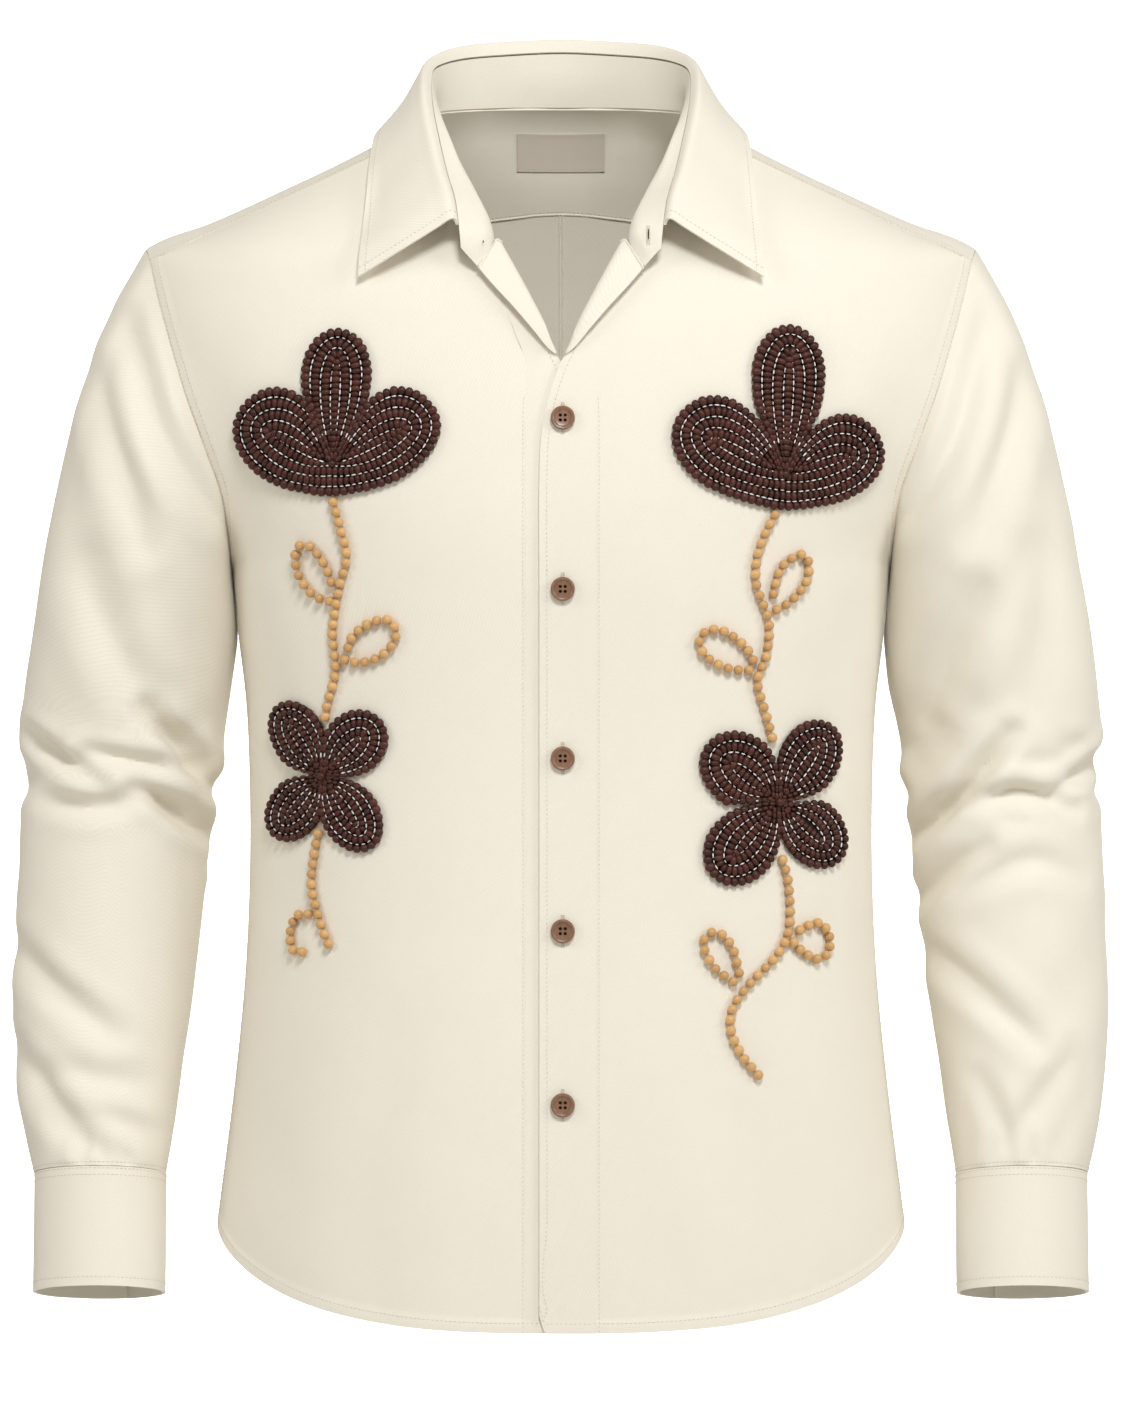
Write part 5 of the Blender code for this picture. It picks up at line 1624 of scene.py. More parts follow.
@dataclass
class Petal:
    """Petal of nested rows of beads that all run into its base."""

    root: np.ndarray
    first: float
    last: float
    row: tuple
    edge_inset: float = 2.6 * MM
    row_aim: float = 5.6 * MM
    bead_pitch: float = 4.4 * MM
    inner_pitch: float = 3.3 * MM
    half_height: float = 2.2 * MM
    spare: float = 0.9 * MM
    least_room: float = 1.25 * MM

    def __post_init__(self) -> None:
        """Spaces the rows so that they fill the petal up to its spine."""
        inside = min(self.row[2], self.row[3]) * MM - self.edge_inset
        self.count = max(2, round(inside / self.row_aim + 0.05))
        self.row_pitch = inside / (self.count - 0.05)

    def outline(self, inset: float) -> tuple:
        """Teardrop at an inset from the petal's edge.

        Args:
            inset: distance from the edge.

        Returns:
            The points in x and z from base to base, and how far rows lie apart at each, 1 at most.
        """
        direction, length, *sides = self.row
        angle = math.radians(direction)
        axis = np.array([math.cos(angle), math.sin(angle)])
        turn = np.array([axis, (-axis[1], axis[0])])
        share = (1 - np.cos(np.linspace(0, math.pi, 60))) / 2
        halves = []
        for full, widest, drop, across in zip(sides[:2], sides[2:4], sides[4:], (1, -1)):
            start = 0.0 if drop else inset * 0.45
            along = start * (1 - share) + (length * MM - inset) * share
            rising = np.sin(math.pi / 2 * np.clip(share / widest, 0, 1)) ** 0.8
            falling = np.sqrt(np.clip(1 - ((share - widest) / (1 - widest)) ** 2, 0, 1))
            wide = max(full * MM - inset, 0) * np.where(share < widest, rising, falling)
            low = max(drop * MM - inset, 0)
            near = np.clip(1 - share / widest, 0, 1) ** 2
            spots = self.root + np.stack([along, wide * across], axis=1) @ turn
            spots[:, 1] -= near * low
            halves.append((spots, np.where((share < widest) & (low == 0), rising, 1.0)))
        spots = np.concatenate([halves[0][0], halves[1][0][::-1][1:]])
        room = np.concatenate([halves[0][1], halves[1][1][::-1][1:]])
        return self.keep_beside(spots), room

    def keep_beside(self, spots: np.ndarray) -> np.ndarray:
        """Keeps points between the lines to the neighbouring petals.

        Args:
            spots: x and z of each point.

        Returns:
            The points, moved where they lay beyond a line.
        """
        for _ in range(6):
            for angle, turn in ((self.first, 1), (self.last, -1)):
                line = math.radians(angle)
                inward = np.array([-math.sin(line), math.cos(line)]) * turn
                short = (self.spare if angle != 270 else 0.0) - (spots - self.root) @ inward
                spots = spots + np.maximum(short, 0)[:, None] * inward
        return spots

    def rows(self) -> list:
        """Bead rows from the edge inwards as insets."""
        return [self.edge_inset + k * self.row_pitch for k in range(self.count)]

    def beads(self, skin: Skin) -> np.ndarray:
        """All beads of the petal.

        Args:
            skin: the cloth.

        Returns:
            Rows for PointSetter.put.
        """
        found = []
        for k, inset in enumerate(self.rows()):
            spots, spread = self.outline(inset)
            room = np.maximum(self.row_pitch * 0.49 * spread, self.least_room)
            pitch = self.bead_pitch if k == 0 else self.inner_pitch
            found.append(self.set_row(skin, spots, room, pitch, self.half_height))
        last = self.rows()[-1]
        angle = math.radians(self.row[0])
        axis = np.array([math.cos(angle), math.sin(angle)])
        run = np.linspace(self.row[1] * 0.12 * MM, self.row[1] * MM - last - 3.4 * MM, 30)
        room = np.clip(run * 0.17, self.least_room, self.row_pitch * 0.47)
        found.append(self.set_row(skin, self.root + run[:, None] * axis, room, self.inner_pitch,
                                  self.half_height))
        return np.concatenate(found)

    @staticmethod
    def set_row(skin: Skin, spots: np.ndarray, room: np.ndarray, pitch: float,
                half_height: float) -> np.ndarray:
        """Solids at an even pitch along a row.

        Args:
            skin: the cloth.
            spots: x and z of points along the row.
            room: half width of a bead at each of them.
            pitch: distance from bead to bead.
            half_height: half the height that a bead has at most.

        Returns:
            Rows for PointSetter.put.
        """
        run = run_of(spots)
        count = max(2, int(round(run[-1] / pitch)))
        at = (np.arange(count) + 0.5) * run[-1] / count
        flat = np.stack([np.interp(at, run, spots[:, k]) for k in range(2)], axis=1)
        side = np.interp(at, run, room)
        on = skin.at(flat)
        toward = unit(np.gradient(on[:, :3], axis=0))
        tall = np.minimum(half_height, side * 1.05)
        size = np.stack([np.full(count, run[-1] / count * 0.60), side, tall], axis=1)
        place = on[:, :3] + on[:, 3:] * (0.4 * MM + tall * 0.92)[:, None]
        return np.concatenate([place, on[:, 3:], toward, size], axis=1)

    def thread(self, skin: Skin) -> np.ndarray:
        """White stitches that show between the rows.

        Args:
            skin: the cloth.

        Returns:
            Rows for PointSetter.put.
        """
        found = []
        for inset in self.rows():
            spots, spread = self.outline(inset + self.row_pitch * 0.5)
            keep = spread > 0.46
            inside = np.flatnonzero(keep)
            if len(inside) < 8:
                continue
            spots = spots[inside[0]:inside[-1] + 1]
            row = self.set_row(skin, spots, np.full(len(spots), 0.42 * MM), 3.6 * MM, 0.5 * MM)
            row[:, :3] += row[:, 3:6] * 2.2 * MM
            row[:, 9] *= 0.70
            found.append(row)
        return np.concatenate(found)

    def ground(self, skin: Skin, name: str, finish: bpy.types.Material) -> bpy.types.Object:
        """Dark sheet under the beads that paints the shade in the gaps between them.

        Args:
            skin: the cloth.
            name: name of the object.
            finish: its material.

        Returns:
            The new object.
        """
        edge, _ = self.outline(self.edge_inset * 0.7)
        edge = edge[::2]
        direction = math.radians(self.row[0])
        heart = self.root + self.row[1] * MM * 0.56 * np.array([math.cos(direction),
                                                                 math.sin(direction)])
        rings = [heart + (edge - heart) * share for share in (1.0, 0.72, 0.45, 0.2)]
        count = len(edge)
        levels = []
        for lift in (0.9 * MM, 0.15 * MM):
            for ring in rings:
                on = skin.at(ring)
                levels.append(on[:, :3] + on[:, 3:] * lift)
            on = skin.at(heart[None])
            levels.append(on[:, :3] + on[:, 3:] * lift)
        verts = np.concatenate(levels)
        block = len(rings) * count + 1
        faces = []
        for level in range(2):
            shift = level * block
            for k in range(len(rings) - 1):
                for j in range(count):
                    i = (j + 1) % count
                    faces.append((shift + k * count + j, shift + k * count + i,
                                  shift + (k + 1) * count + i, shift + (k + 1) * count + j))
            for j in range(count):
                inner = shift + (len(rings) - 1) * count
                faces.append((inner + j, inner + (j + 1) % count, shift + block - 1))
        for j in range(count):
            i = (j + 1) % count
            faces.append((j, i, block + i, block + j))
        mesh = bpy.data.meshes.new(name)
        mesh.from_pydata(verts.tolist(), [], faces)
        return finish_object(name, mesh, finish, 60.0)


def join(name: str, parts: list) -> bpy.types.Object:
    """Joins meshes into one object, keeping each one's material.

    Args:
        name: name of the result.
        parts: the objects, which are used up.

    Returns:
        The joined object.
    """
    bpy.ops.object.select_all(action="DESELECT")
    for part in parts:
        part.select_set(True)
    bpy.context.view_layer.objects.active = parts[0]
    bpy.ops.object.join()
    parts[0].name = name
    parts[0].data.name = name
    return parts[0]


@dataclass
class Beadwork:
    """Flowers and vines on both fronts."""

    setter: PointSetter
    finishes: Finishes
    tan_pitch: float = 6.0 * MM
    tan_radius: float = 2.9 * MM

    def flower(self, name: str, skin: Skin) -> None:
        """Builds one flower as a piece of beads, thread and a dark sheet of painted shade under them.

        Args:
            name: key of the flower's table.
            skin: the cloth that it is sewn on.
        """
        splits = FLOWERS[name]
        root, rows = BEAD_PLANS[name]
        root = np.array(root) * MM
        beads, thread, shade_grounds = [], [], []
        for k, row in enumerate(rows):
            first = splits[k - 1] if len(rows) == 4 else splits[(k, 1, 2)[k]]
            last = splits[k] if len(rows) == 4 else splits[(1, 2, 0)[k]]
            petal = Petal(root, first, last, row)
            beads.append(petal.beads(skin))
            thread.append(petal.thread(skin))
            # a dark sheet under each petal paints the shade between its beads
            shade_grounds.append(petal.ground(skin, f"{name}_ground_{k}", self.finishes.ground))
        middle = skin.at(root[None])
        size = np.full((1, 3), 2.6 * MM)
        beads.append(np.concatenate([middle[:, :3] + middle[:, 3:] * 3.2 * MM, middle[:, 3:],
                                     [[1.0, 0, 0]], size], axis=1))
        seed = 11 + sorted(FLOWERS).index(name)
        parts = [
            self.setter.put(name + "_beads", np.concatenate(beads), self.finishes.dark_bead, 10, 7,
                            0.07, seed),
            self.setter.put(name + "_thread", np.concatenate(thread), self.finishes.white_thread, 5,
                            4, 0.25, seed + 20),
        ]
        made = join(name + "_beadwork", parts + shade_grounds)
        place_piece(made, "dark_bead", *[f"{name}_petal_{k + 1}" for k in range(len(rows))])

    def vine(self, name: str, skin: Skin) -> None:
        """Builds one string of larger beads.

        Args:
            name: key of the string's table.
            skin: the cloth.
        """
        line = path(np.array(VINES[name]) * MM, 80)
        run = np.linalg.norm(np.diff(line, axis=0), axis=1).sum()
        count = max(3, int(round(run / self.tan_pitch)) + 1)
        on = skin.at(path(line, count))
        toward = unit(np.gradient(on[:, :3], axis=0))
        radius = min(self.tan_radius, run / (count - 1) * 0.505)
        size = np.tile([radius, radius, radius * 0.96], (count, 1))
        place = on[:, :3] + on[:, 3:] * radius * 0.95
        beads = np.concatenate([place, on[:, 3:], toward, size], axis=1)
        seed = 51 + sorted(VINES).index(name)
        made = self.setter.put(name + "_beads", beads, self.finishes.tan_bead, 20, 12, 0.04, seed)
        place_piece(made, "tan_bead", name)


@dataclass
class ShirtButton:
    """Turned four-hole button."""

    finishes: Finishes
    around: int = 48
    hole_radius: float = 0.95 * MM
    hole_offset: float = 2.0 * MM

    def blank(self) -> bpy.types.Mesh:
        """Turned disc with a soft rim and four round holes.

        Returns:
            The mesh, with its back at height zero.
        """
        profile = ((0.0, 0.1), (5.4, 0.1), (6.5, 0.6), (7.0, 1.4), (7.0, 2.0), (6.75, 2.7),
                   (6.2, 3.1), (5.6, 3.05), (5.05, 2.6), (4.7, 2.15), (3.6, 1.95), (0.0, 1.9))
        shape = bmesh.new()
        rings = []
        for radius, height in profile[1:-1]:
            rings.append([shape.verts.new((radius * MM * math.cos(2 * math.pi * k / self.around),
                                           radius * MM * math.sin(2 * math.pi * k / self.around),
                                           height * MM)) for k in range(self.around)])
        shape.faces.new(rings[0])
        for low, high in zip(rings[:-1], rings[1:]):
            for k in range(self.around):
                i = (k + 1) % self.around
                shape.faces.new((low[k], low[i], high[i], high[k]))
        shape.faces.new(rings[-1])
        bmesh.ops.recalc_face_normals(shape, faces=shape.faces)
        mesh = bpy.data.meshes.new("button_blank")
        shape.to_mesh(mesh)
        shape.free()
        disc = bpy.data.objects.new("button_blank", mesh)
        bpy.context.collection.objects.link(disc)
        cutters = []
        for k in range(4):
            turn = math.pi / 4 + k * math.pi / 2
            spot = (self.hole_offset * math.cos(turn), self.hole_offset * math.sin(turn), 0)
            bpy.ops.mesh.primitive_cylinder_add(vertices=20, radius=self.hole_radius, depth=9 * MM,
                                                location=spot)
            cutters.append(bpy.context.object)
            cut = disc.modifiers.new(f"hole_{k}", "BOOLEAN")
            cut.object = cutters[-1]
        graph = bpy.context.evaluated_depsgraph_get()
        result = bpy.data.meshes.new_from_object(disc.evaluated_get(graph))
        for old in cutters + [disc]:
            bpy.data.objects.remove(old, do_unlink=True)
        return result

    def shade(self) -> bpy.types.Mesh:
        """Dark disc inside the button that paints the shade seen through its holes.

        Returns:
            The mesh.
        """
        shape = bmesh.new()
        turn = Matrix.Translation((0, 0, 0.5 * MM))
        bmesh.ops.create_circle(shape, cap_ends=True, segments=24, radius=4 * MM, matrix=turn)
        mesh = bpy.data.meshes.new("button_shade")
        shape.to_mesh(mesh)
        shape.free()
        return mesh

    def place(self, blank: bpy.types.Mesh, shade: bpy.types.Mesh, node: str,
              spot: np.ndarray, out: np.ndarray) -> None:
        """Puts a copy of the button on the cloth.

        Args:
            blank: the disc.
            shade: the dark disc in it.
            node: name of the solid that it stands for.
            spot: where its back lies.
            out: the way that it faces.
        """
        turn = Vector(out).to_track_quat("Z", "Y").to_matrix().to_4x4()
        turn.translation = Vector(spot)
        parts = []
        # the dark disc in each button paints the shade seen through its holes
        for mesh, finish, sharp in ((blank, self.finishes.button, 40), (shade, self.finishes.ground, 80)):
            copy = mesh.copy()
            copy.transform(turn)
            copy.materials.clear()
            parts.append(finish_object(node + "_part", copy, finish, sharp))
        made = join(node + "_turned", parts)
        place_piece(made, "brown_button", node)


@dataclass
class Shirt:
    """The whole shirt: its panels, sewing, collar, beads, buttons and label."""

    sleeve_gain: float = 2.3
    hem_stitch: float = 5.8 * MM
    edge_stitch: float = 5.0 * MM
    label_margin: float = 1.5 * MM
    ridge_pitch: float = 1.6 * MM
    ridge_length: float = 4.0 * MM
    slit_x: float = 50.6 * MM
    slit_z: float = -71.0 * MM
    dot_x: float = -45.6 * MM
    dot_z: float = -74.9 * MM

    def __post_init__(self) -> None:
        """Prepares the finishes, the body's form and the fine panels."""
        self.finishes = Finishes.all()
        self.setter = PointSetter()
        self.body = BodyForm()
        self.arm = SleeveForm()
        self.sewing: list = []
        self.ridges: list = []
        self.dark_marks: list = []
        self.panels = self.cut_panels()

    def cut_panels(self) -> dict:
        """Fine panels of the body and sleeves, with their folds and doubled seams.

        Returns:
            The panels by node name.
        """
        front, back = self.body.front_grid(), self.body.back_grid()
        half = back.shape[1] // 2
        yoke = self.body.yoke_half(front[-1], back[-1, :half + 1])
        underarm = next(k for k, row in enumerate(FRONT_ROWS) if row[1] == -262)
        back_underarm = next(k for k, row in enumerate(BACK_ROWS) if row[1] == -262)
        armhole = np.concatenate([front[underarm:, -1], yoke[1:-1, 0], back[:back_underarm:-1, 0]])
        whole_yoke = np.concatenate([yoke, mirrored(yoke)[:, 1:]], axis=1)[:, ::-1]
        felled = (0.8 * MM, 7.6 * MM, 8.6 * MM)
        hem = (0.8 * MM, 6.4 * MM, 7.4 * MM)
        panels = {
            "back": Panel("back", pull_in(back), first_rows=hem, last_rows=felled[:1],
                          first_columns=felled[:1], last_columns=felled[:1]),
            "yoke": Panel("yoke", pull_in(whole_yoke, gap=SEAM_GAP), target=3.2 * MM,
                          first_rows=(0.8 * MM, 5.4 * MM, 6.4 * MM),
                          last_rows=(0.8 * MM, 5.4 * MM, 6.4 * MM)),
        }
        sleeve = self.arm.sleeve(armhole)
        for side in Side:
            turn = (lambda grid: grid) if side is Side.LEFT else mirrored
            left = side is Side.LEFT
            upper = front.copy()
            if not left:
                near = np.clip(1 - (np.abs(upper[..., 0]) - BAND_SEAM) / LAP_REACH, 0, 1)
                upper[..., 1] += LAP_DROP * near * near * (3 - 2 * near) * below_v(upper[..., 2])
            side_marks = {"last_columns" if left else "first_columns": felled}
            panels[f"front_{side.word}"] = Panel(f"front_{side.word}", turn(pull_in(upper, gap=TOUCH)),
                                                 first_rows=hem, **side_marks)
            band_marks = {"first_columns" if left else "last_columns": (0.6 * MM,)}
            panels[f"front_band_{side.word}"] = Panel(
                f"front_band_{side.word}", turn(pull_in(self.body.band_grid(side), gap=TOUCH)),
                thickness=DOUBLE_CLOTH, target=2.4 * MM, first_rows=hem, **band_marks)
            panels[f"sleeve_{side.word}"] = Panel(f"sleeve_{side.word}", turn(sleeve), wrap=True,
                                                  target=3.2 * MM)
        for name, panel in panels.items():
            panel.fold(self.folds_of(name, panel))
        level_seams(panels)
        self.raise_strips(panels)
        return panels

    def folds_of(self, name: str, panel: Panel) -> np.ndarray:
        """How far the folds move each point of a panel.

        Args:
            name: its node.
            panel: the panel.

        Returns:
            The move inwards of each point.
        """
        if name.startswith("sleeve"):
            sign = 1 if name.endswith("left") else -1
            table = FOLDS_LEFT_SLEEVE if sign > 0 else FOLDS_RIGHT_SLEEVE
            push = press(panel.grid, panel.normals, table, sign, -1)
            push += press(panel.grid, panel.normals, FOLDS_SLEEVE_BACK, sign, 1)
            push *= self.sleeve_gain
            for _ in range(2):
                inner = push[1:-1] * 2 + push[:-2] + push[2:]
                push[1:-1] = (inner + np.roll(push, 1, 1)[1:-1] + np.roll(push, -1, 1)[1:-1]) / 6
            ends = smooth_step(panel.from_edge(Edge.FIRST_ROW), 0, 14 * MM)
            ends *= smooth_step(panel.from_edge(Edge.LAST_ROW), 0, 4 * MM)
            return push * ends
        if name in ("front_left", "front_right", "back"):
            facing, table = (1, FOLDS_BACK) if name == "back" else (-1, FOLDS_FRONT)
            push = press(panel.grid, panel.normals, table, 1, facing)
            fade = smooth_step(panel.from_edge(Edge.LAST_ROW), 0, 20 * MM)
            for edge in (Edge.FIRST_COLUMN, Edge.LAST_COLUMN):
                fade = fade * smooth_step(panel.from_edge(edge), 0, 22 * MM)
            return push * fade
        return np.zeros(panel.grid.shape[:2])

    def raise_strips(self, panels: dict) -> None:
        """Doubles the cloth along hems and felled seams, and lifts the back's pleat.

        Args:
            panels: the panels by name.
        """
        for side in Side:
            front = panels[f"front_{side.word}"]
            front.double(side.outer, 7.8 * MM)
            front.double(Edge.FIRST_ROW, 6.6 * MM)
            panels[f"front_band_{side.word}"].double(Edge.FIRST_ROW, 6.6 * MM, 0.5 * MM)
        panels["yoke"].double(Edge.FIRST_ROW, 5.6 * MM, 0.5 * MM)
        panels["yoke"].double(Edge.LAST_ROW, 5.6 * MM, 0.5 * MM)
        back = panels["back"]
        back.double(Edge.FIRST_ROW, 6.6 * MM)
        grid = back.grid
        inside = 1 - smooth_step(np.abs(grid[..., 0]), PLEAT_HALF - PLEAT_EDGE, PLEAT_HALF)
        top = grid[-1, :, 2].max()
        share = np.clip((grid[..., 2] - PLEAT_END) / (top - PLEAT_END), 0, 1)
        back.relief = np.maximum(back.relief, PLEAT_RISE * inside * share ** 0.7)

    def sew(self, *lines: np.ndarray) -> None:
        """Adds lines of sewing."""
        self.sewing.extend(stitches(line) for line in lines if len(line) > 2)

    def make_body(self) -> None:
        """Builds the panels and sews their seams."""
        for name, panel in self.panels.items():
            panel.build(self.finishes.cloth)
        for side in Side:
            front = self.panels[f"front_{side.word}"]
            band = self.panels[f"front_band_{side.word}"]
            self.sew(front.line(side.outer, 1.3 * MM), front.line(side.outer, 7.0 * MM),
                     front.line(Edge.FIRST_ROW, self.hem_stitch),
                     front.line(side.inner, 1.2 * MM, 0.0, 0.78),
                     band.line(side.inner, 4.4 * MM), band.line(Edge.FIRST_ROW, self.hem_stitch))
            sleeve = self.panels[f"sleeve_{side.word}"]
            self.sew(sleeve.line(Edge.LAST_ROW, 2.2 * MM))
        back, yoke = self.panels["back"], self.panels["yoke"]
        self.sew(back.line(Edge.FIRST_ROW, self.hem_stitch), yoke.line(Edge.FIRST_ROW, 1.3 * MM),
                 yoke.line(Edge.LAST_ROW, 1.3 * MM), yoke.line(Edge.LAST_ROW, self.edge_stitch))
        inside = yoke.line(Edge.LAST_ROW, 2.0 * MM)
        inside[:, :3] -= inside[:, 3:] * (CLOTH + 0.5 * MM)
        inside[:, 3:] *= -1
        self.sew(inside)
        self.ridge(yoke.line(Edge.LAST_ROW, 0.3 * MM), CLOTH, 0.9 * MM)
        for side in Side:
            self.ridge(self.panels[f"front_band_{side.word}"].line(Edge.LAST_ROW, 0.5 * MM), DOUBLE_CLOTH,
                       0.7 * MM)
        centre = np.abs(back.grid[-1, :, 0]).argmin()
        fold = np.concatenate([back.grid[:, centre], back.normals[:, centre]], axis=1)
        fold = fold[fold[:, 2] > PLEAT_END]
        for shift in (-0.9 * MM, 0.9 * MM):
            self.ridge(fold + np.array([shift, 0, 0, 0, 0, 0]), CLOTH, 0.5 * MM)

    def ridge(self, line: np.ndarray, depth: float, radius: float) -> None:
        """Adds a raised seam on the inner face.

        Args:
            line: points of the outer face with their normals.
            depth: how far below it the inner face lies.
            radius: half the ridge's width.
        """
        inside = np.concatenate([line[:, :3] - line[:, 3:] * depth, -line[:, 3:]], axis=1)
        self.ridges.append(stitches(inside, self.ridge_pitch, self.ridge_length, radius))

    def make_cuffs(self) -> None:
        """Builds both cuffs with their edge stitching."""
        for side in Side:
            coarse = self.arm.cuff()
            if side is Side.RIGHT:
                coarse = mirrored(coarse)
            edges = (0.7 * MM,)
            cuff = Panel(f"cuff_{side.word}", coarse, thickness=CUFF_CLOTH, target=2.6 * MM,
                         first_rows=edges, last_rows=edges, first_columns=edges, last_columns=edges)
            cuff.build(self.finishes.cloth)
            self.sew(cuff.line(Edge.FIRST_ROW, self.edge_stitch),
                     cuff.line(Edge.LAST_ROW, self.edge_stitch),
                     cuff.line(Edge.FIRST_ROW, 1.2 * MM))

    @staticmethod
    def strip(stations: tuple, parts: int, across: int) -> np.ndarray:
        """Grid through stations of several points each, mirrored over the centre back.

        Args:
            stations: table of the points of each station.
            parts: how many points a station has.
            across: how many rows the grid gets.

        Returns:
            Rows of points.
        """
        table = np.array(stations, float).reshape(len(stations), parts, 3) * MM
        half = np.array([path(station, across) for station in table])
        other = (half * np.array([-1, 1, 1]))[:0:-1]
        return np.concatenate([other, half]).transpose(1, 0, 2)

    def clear_of_chest(self, grid: np.ndarray) -> np.ndarray:
        """Keeps the collar leaf in front of the chest by a small gap.

        Args:
            grid: the leaf's points.

        Returns:
            The same grid, moved where it lay too deep.
        """
        x = np.abs(grid[..., 0])
        gap = np.interp(x, [0.060, 0.085], [0.0085, 0.0045])
        chest = self.body.front(x, np.minimum(grid[..., 2], -0.004)) - gap
        ahead = (grid[..., 2] < -0.012) & (grid[..., 1] < -0.030)
        grid[..., 1] = np.where(ahead, np.minimum(grid[..., 1], chest), grid[..., 1])
        return grid

    def make_collar(self) -> None:
        """Builds the stand and the turned leaf with their edge stitching."""
        stand = self.strip(STAND, 3, 6)
        leaf = self.clear_of_chest(self.strip(LEAF, 4, 8))
        extra = (stand.shape[1] - leaf.shape[1]) // 2
        lean = unit((stand[-1] - stand[-2])[extra:-extra])
        leaf[0] = stand[-1, extra:-extra] + lean * SEAM_GAP * 3
        edge = (0.7 * MM,)
        for name, coarse in (("collar_stand", stand), ("collar", leaf)):
            shift = grid_normals(coarse) * DOUBLE_CLOTH / 2
            panel = Panel(name, coarse + shift, thickness=DOUBLE_CLOTH, target=2.2 * MM,
                          last_rows=edge, first_columns=edge, last_columns=edge,
                          held="folded" if name == "collar" else "hung")
            panel.build(self.finishes.cloth)
            if name == "collar":
                self.sew(*[panel.line(border, self.edge_stitch)
                           for border in (Edge.LAST_ROW, Edge.FIRST_COLUMN, Edge.LAST_COLUMN)])
            else:
                for line in (panel.line(Edge.FIRST_ROW, 1.5 * MM), panel.line(Edge.LAST_ROW, 1.5 * MM)):
                    inside = line.copy()
                    inside[:, :3] -= inside[:, 3:] * DOUBLE_CLOTH
                    inside[:, 3:] *= -1
                    self.sew(inside)
                self.ridge(panel.line(Edge.FIRST_ROW, 0.3 * MM, 0.2, 0.8), DOUBLE_CLOTH, 0.8 * MM)
                self.make_neck_fastening(panel)

    def make_neck_fastening(self, stand: Panel) -> None:
        """Slit at one end of the stand, with a dark mark of painted shade in its opening, and the thread of
        a button's place at the other.

        Args:
            stand: panel of the collar stand.
        """
        skin = Skin(stand)
        inner_face = DOUBLE_CLOTH + TOUCH
        self.buttonhole(skin, self.slit_x, self.slit_z, 4.6 * MM, inner_face)
        # the slit's dark mark paints the shade in its opening; the small dot is the dark thread of the
        # button's place
        for x, z, half in ((self.slit_x, self.slit_z, 3.7), (self.dot_x, self.dot_z, 0.8)):
            on = skin.at(np.array([[x, z]]))
            size = np.array([[half * MM, 0.42 * MM, 0.3 * MM]])
            place = on[:, :3] + on[:, 3:] * inner_face
            self.dark_marks.append(np.concatenate([place, on[:, 3:], [[0.0, 0.0, 1.0]], size], axis=1))

    def make_label(self) -> None:
        """Builds the woven label with its stitched border."""
        tree = grid_tree(self.panels["yoke"].inner)
        half_width, top, bottom = (value * MM for value in LABEL)
        edge = 0.4 * MM
        xs = np.concatenate([[-half_width, -half_width + edge],
                             np.linspace(-half_width, half_width, 28)[1:-1],
                             [half_width - edge, half_width]])
        zs = np.concatenate([[bottom, bottom + edge], np.linspace(bottom, top, 12)[1:-1],
                             [top - edge, top]])
        grid = np.array([[(x, tree.ray_cast(Vector((x, 0.02, z)), Vector((0, 1, 0)))[0].y - SEAM_GAP, z)
                          for x in xs] for z in zs])
        corner = np.clip(np.abs(grid[..., 0]) / half_width, 0, 1) ** 14
        grid[..., 1] -= 0.35 * MM * corner
        front = grid - np.array([0, LABEL_TAPE, 0])
        across = np.repeat((xs - xs[0])[None], len(zs), axis=0)
        along = np.repeat((zs - zs[0])[:, None], len(xs), axis=1)
        made = wall_object("woven_label", front, grid, across, along, False, self.finishes.tape)
        place_piece(made, "label_tape", "label")
        declare_cut(front, False)
        inset = self.label_margin
        out = np.array([0.0, -1.0, 0.0])
        for z in (bottom + inset, top - inset):
            line = [(x, 0, z) for x in np.linspace(-half_width + inset, half_width - inset, 40)]
            row = self.on_label(line, tree, out)
            self.sewing.append(stitches(row, 2.0 * MM, 1.3 * MM, 0.2 * MM))
        for x in (-half_width + inset, half_width - inset):
            line = [(x, 0, z) for z in np.linspace(bottom + inset, top - inset, 16)]
            row = self.on_label(line, tree, out)
            self.sewing.append(stitches(row, 2.0 * MM, 1.3 * MM, 0.2 * MM))

    @staticmethod
    def on_label(line: list, tree: BVHTree, out: np.ndarray) -> np.ndarray:
        """Line of sewing on the label's face.

        Args:
            line: points whose x and z count.
            tree: inner face of the yoke.
            out: the way that the label faces.

        Returns:
            Points with their normals.
        """
        found = []
        for x, _, z in line:
            hit = tree.ray_cast(Vector((x, 0.02, z)), Vector((0, 1, 0)))[0]
            found.append((x, hit.y - SEAM_GAP - LABEL_TAPE, z, *out))
        return np.array(found)

    def make_fastenings(self) -> None:
        """Buttons on the band with their buttonholes, and a button on each cuff."""
        button = ShirtButton(self.finishes)
        blank, shade = button.blank(), button.shade()
        skin = Skin(self.panels["front_band_left"])
        for k, height in enumerate(BUTTON_HEIGHTS):
            on = skin.at(np.array([[BUTTON_X, height * MM]]))[0]
            button.place(blank, shade, f"button_{k + 1}", on[:3] + on[3:] * 0.45 * MM, on[3:])
            self.buttonhole(skin, BUTTON_X, height * MM, 9.2 * MM)
        spot, out = self.arm.button_seat()
        for side in Side:
            flip = np.array([side.value, 1, 1])
            button.place(blank, shade, f"cuff_button_{side.word}", spot * flip, out * flip)

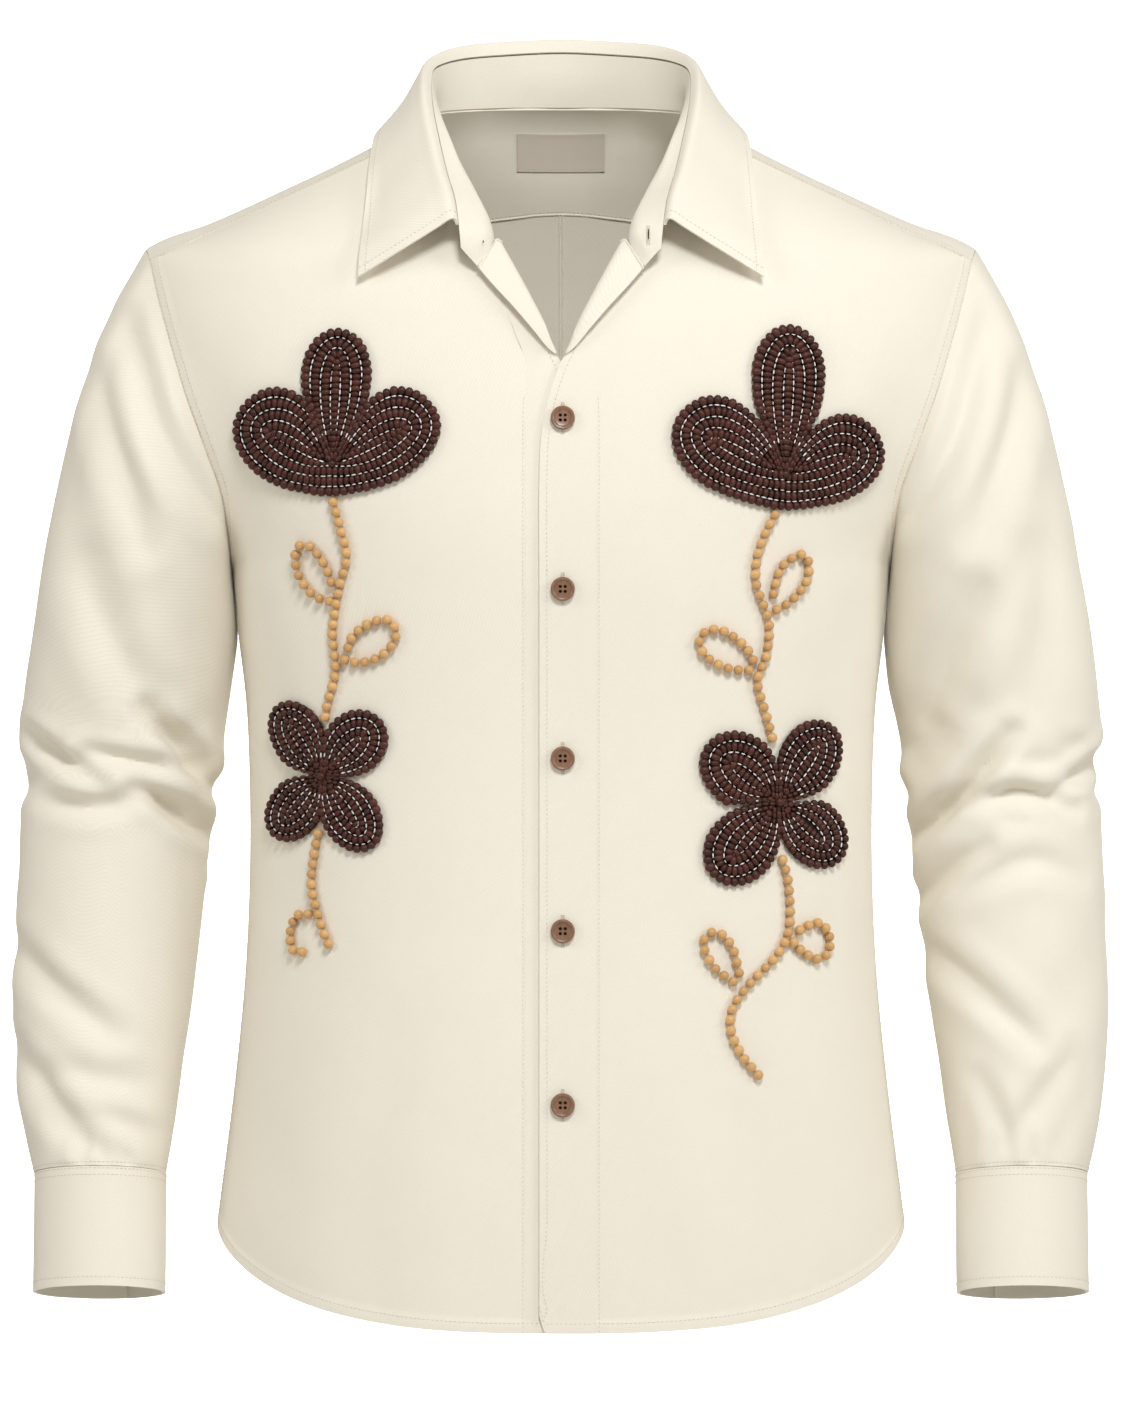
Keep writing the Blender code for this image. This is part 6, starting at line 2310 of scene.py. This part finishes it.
    def buttonhole(self, skin: Skin, x: float, z: float, half: float, lift: float = 0.0) -> None:
        """Dense stitches round a vertical slit.

        Args:
            skin: the cloth.
            x: middle of the slit.
            z: its height.
            half: half its length.
            lift: how far its face lies before the skin.
        """
        for side in (-1, 1):
            count = int(half / (0.27 * MM))
            spots = np.array([(x + side * 0.62 * MM, z + w * half) for w in np.linspace(-1, 1, count)])
            on = skin.at(spots)
            toward = np.tile([1.0, 0.0, 0.0], (len(on), 1))
            size = np.tile([0.62 * MM, 0.26 * MM, 0.24 * MM], (len(on), 1))
            place = on[:, :3] + on[:, 3:] * (lift + 0.08 * MM)
            self.sewing.append(np.concatenate([place, on[:, 3:], toward, size], axis=1))

    def make_sewing(self) -> None:
        """Sets every stitch."""
        made = self.setter.put("stitching", np.concatenate(self.sewing), self.finishes.sewing_thread,
                               4, 3, 0.05, 5)
        place_piece(made, "cream_twill")
        made = self.setter.put("seam_ridges", np.concatenate(self.ridges), self.finishes.cloth, 6, 4, 0, 6)
        place_piece(made, "cream_twill")
        # dark mark of painted shade in the neck slit, with the dark thread dot
        made = self.setter.put("neck_slit", np.concatenate(self.dark_marks), self.finishes.ground,
                               8, 5, 0, 7)
        place_piece(made, "dark_bead")

    def make_beadwork(self) -> None:
        """Sews the flowers and vines on the fronts."""
        beadwork = Beadwork(self.setter, self.finishes)
        for side in Side:
            skin = Skin(self.panels[f"front_{side.word}"])
            for name in FLOWERS:
                if name.split("_")[1] == side.word:
                    beadwork.flower(name, skin)
            for name in VINES:
                if name.split("_")[1] == side.word:
                    beadwork.vine(name, skin)


@dataclass
class Studio:
    """Pale floor, soft light and the camera at the photograph's angle."""

    floor_height: float = -1.65
    distance: float = 3.5
    frame_height: float = 0.834
    look_height: float = -0.340

    def floor(self) -> None:
        """Floor that rises behind the shirt in one soft sweep."""
        paper = Finishes.matt("studio_paper", (0.93, 0.93, 0.93)).make()
        line = [(-9.0, 0.0), (6.6, 0.0)]
        line += [(6.6 + 1.5 * math.sin(a), 1.5 - 1.5 * math.cos(a))
                 for a in np.linspace(0.1, math.pi / 2, 16)]
        line.append((8.1, 6.0))
        verts = [(x, y, z + self.floor_height) for y, z in line for x in (-9.0, 9.0)]
        faces = [(2 * k, 2 * k + 1, 2 * k + 3, 2 * k + 2) for k in range(len(line) - 1)]
        mesh = bpy.data.meshes.new("studio_sweep")
        mesh.from_pydata(verts, [], faces)
        mesh.shade_smooth()
        mesh.materials.append(paper)
        sweep = bpy.data.objects.new("studio_sweep", mesh)
        bpy.context.collection.objects.link(sweep)

    @staticmethod
    def light(name: str, place: tuple, target: tuple, size: float, power: float, warmth: float) -> None:
        """One soft square light.

        Args:
            name: its name.
            place: where it hangs.
            target: what it faces.
            size: its side.
            power: its power in watts.
            warmth: 0 for white, 1 for clearly warm, -1 for cool.
        """
        data = bpy.data.lights.new(name, "AREA")
        data.size = size
        data.energy = power
        data.color = (min(1, 1 + 0.07 * warmth), 1.0 - 0.04 * abs(warmth), min(1, 1 - 0.2 * warmth))
        lamp = bpy.data.objects.new(name, data)
        lamp.location = place
        lamp.rotation_euler = (Vector(target) - Vector(place)).to_track_quat("-Z", "Y").to_euler()
        bpy.context.collection.objects.link(lamp)

    def lights(self) -> None:
        """Key from above the camera, a light from each side and light on the sweep."""
        self.light("key", (0.4, -2.6, 1.8), (0, 0, -0.36), 0.8, 69, -1.0)
        self.light("right", (2.6, -1.5, 0.8), (0, 0, -0.3), 1.2, 26, -0.3)
        self.light("left", (-2.6, -1.5, 0.8), (0, 0, -0.3), 1.2, 19, -0.3)
        self.light("sweep_left", (-1.8, 3.8, 1.0), (-1.0, 8.1, -0.4), 1.4, 250, 0.0)
        self.light("sweep_right", (1.8, 3.8, 1.0), (1.0, 8.1, -0.4), 1.4, 250, 0.0)
        bpy.context.scene.view_settings.view_transform = "Standard"
        world = bpy.data.worlds.new("studio_air")
        world.use_nodes = True
        world.node_tree.nodes["Background"].inputs[0].default_value = (1.0, 0.92, 0.78, 1)
        world.node_tree.nodes["Background"].inputs[1].default_value = 0.30
        bpy.context.scene.world = world

    def camera(self) -> None:
        """Level camera straight before the shirt."""
        data = bpy.data.cameras.new("photo_camera")
        data.sensor_width = 36.0
        data.lens = 36.0 * self.distance / self.frame_height
        camera = bpy.data.objects.new("photo_camera", data)
        camera.location = (0, -self.distance, self.look_height)
        camera.rotation_euler = (math.pi / 2, 0, 0)
        bpy.context.collection.objects.link(camera)
        bpy.context.scene.camera = camera


def main() -> None:
    """Builds the shirt and its studio in order."""
    logging.basicConfig(level=logging.INFO, format="%(message)s")
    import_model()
    shirt = Shirt()
    for step in (shirt.make_body, shirt.make_cuffs, shirt.make_collar, shirt.make_label,
                 shirt.make_fastenings, shirt.make_beadwork, shirt.make_sewing):
        step()
        LOG.info("%s done", step.__name__)
    studio = Studio()
    studio.floor()
    studio.lights()
    studio.camera()


if __name__ == "__main__":
    main()
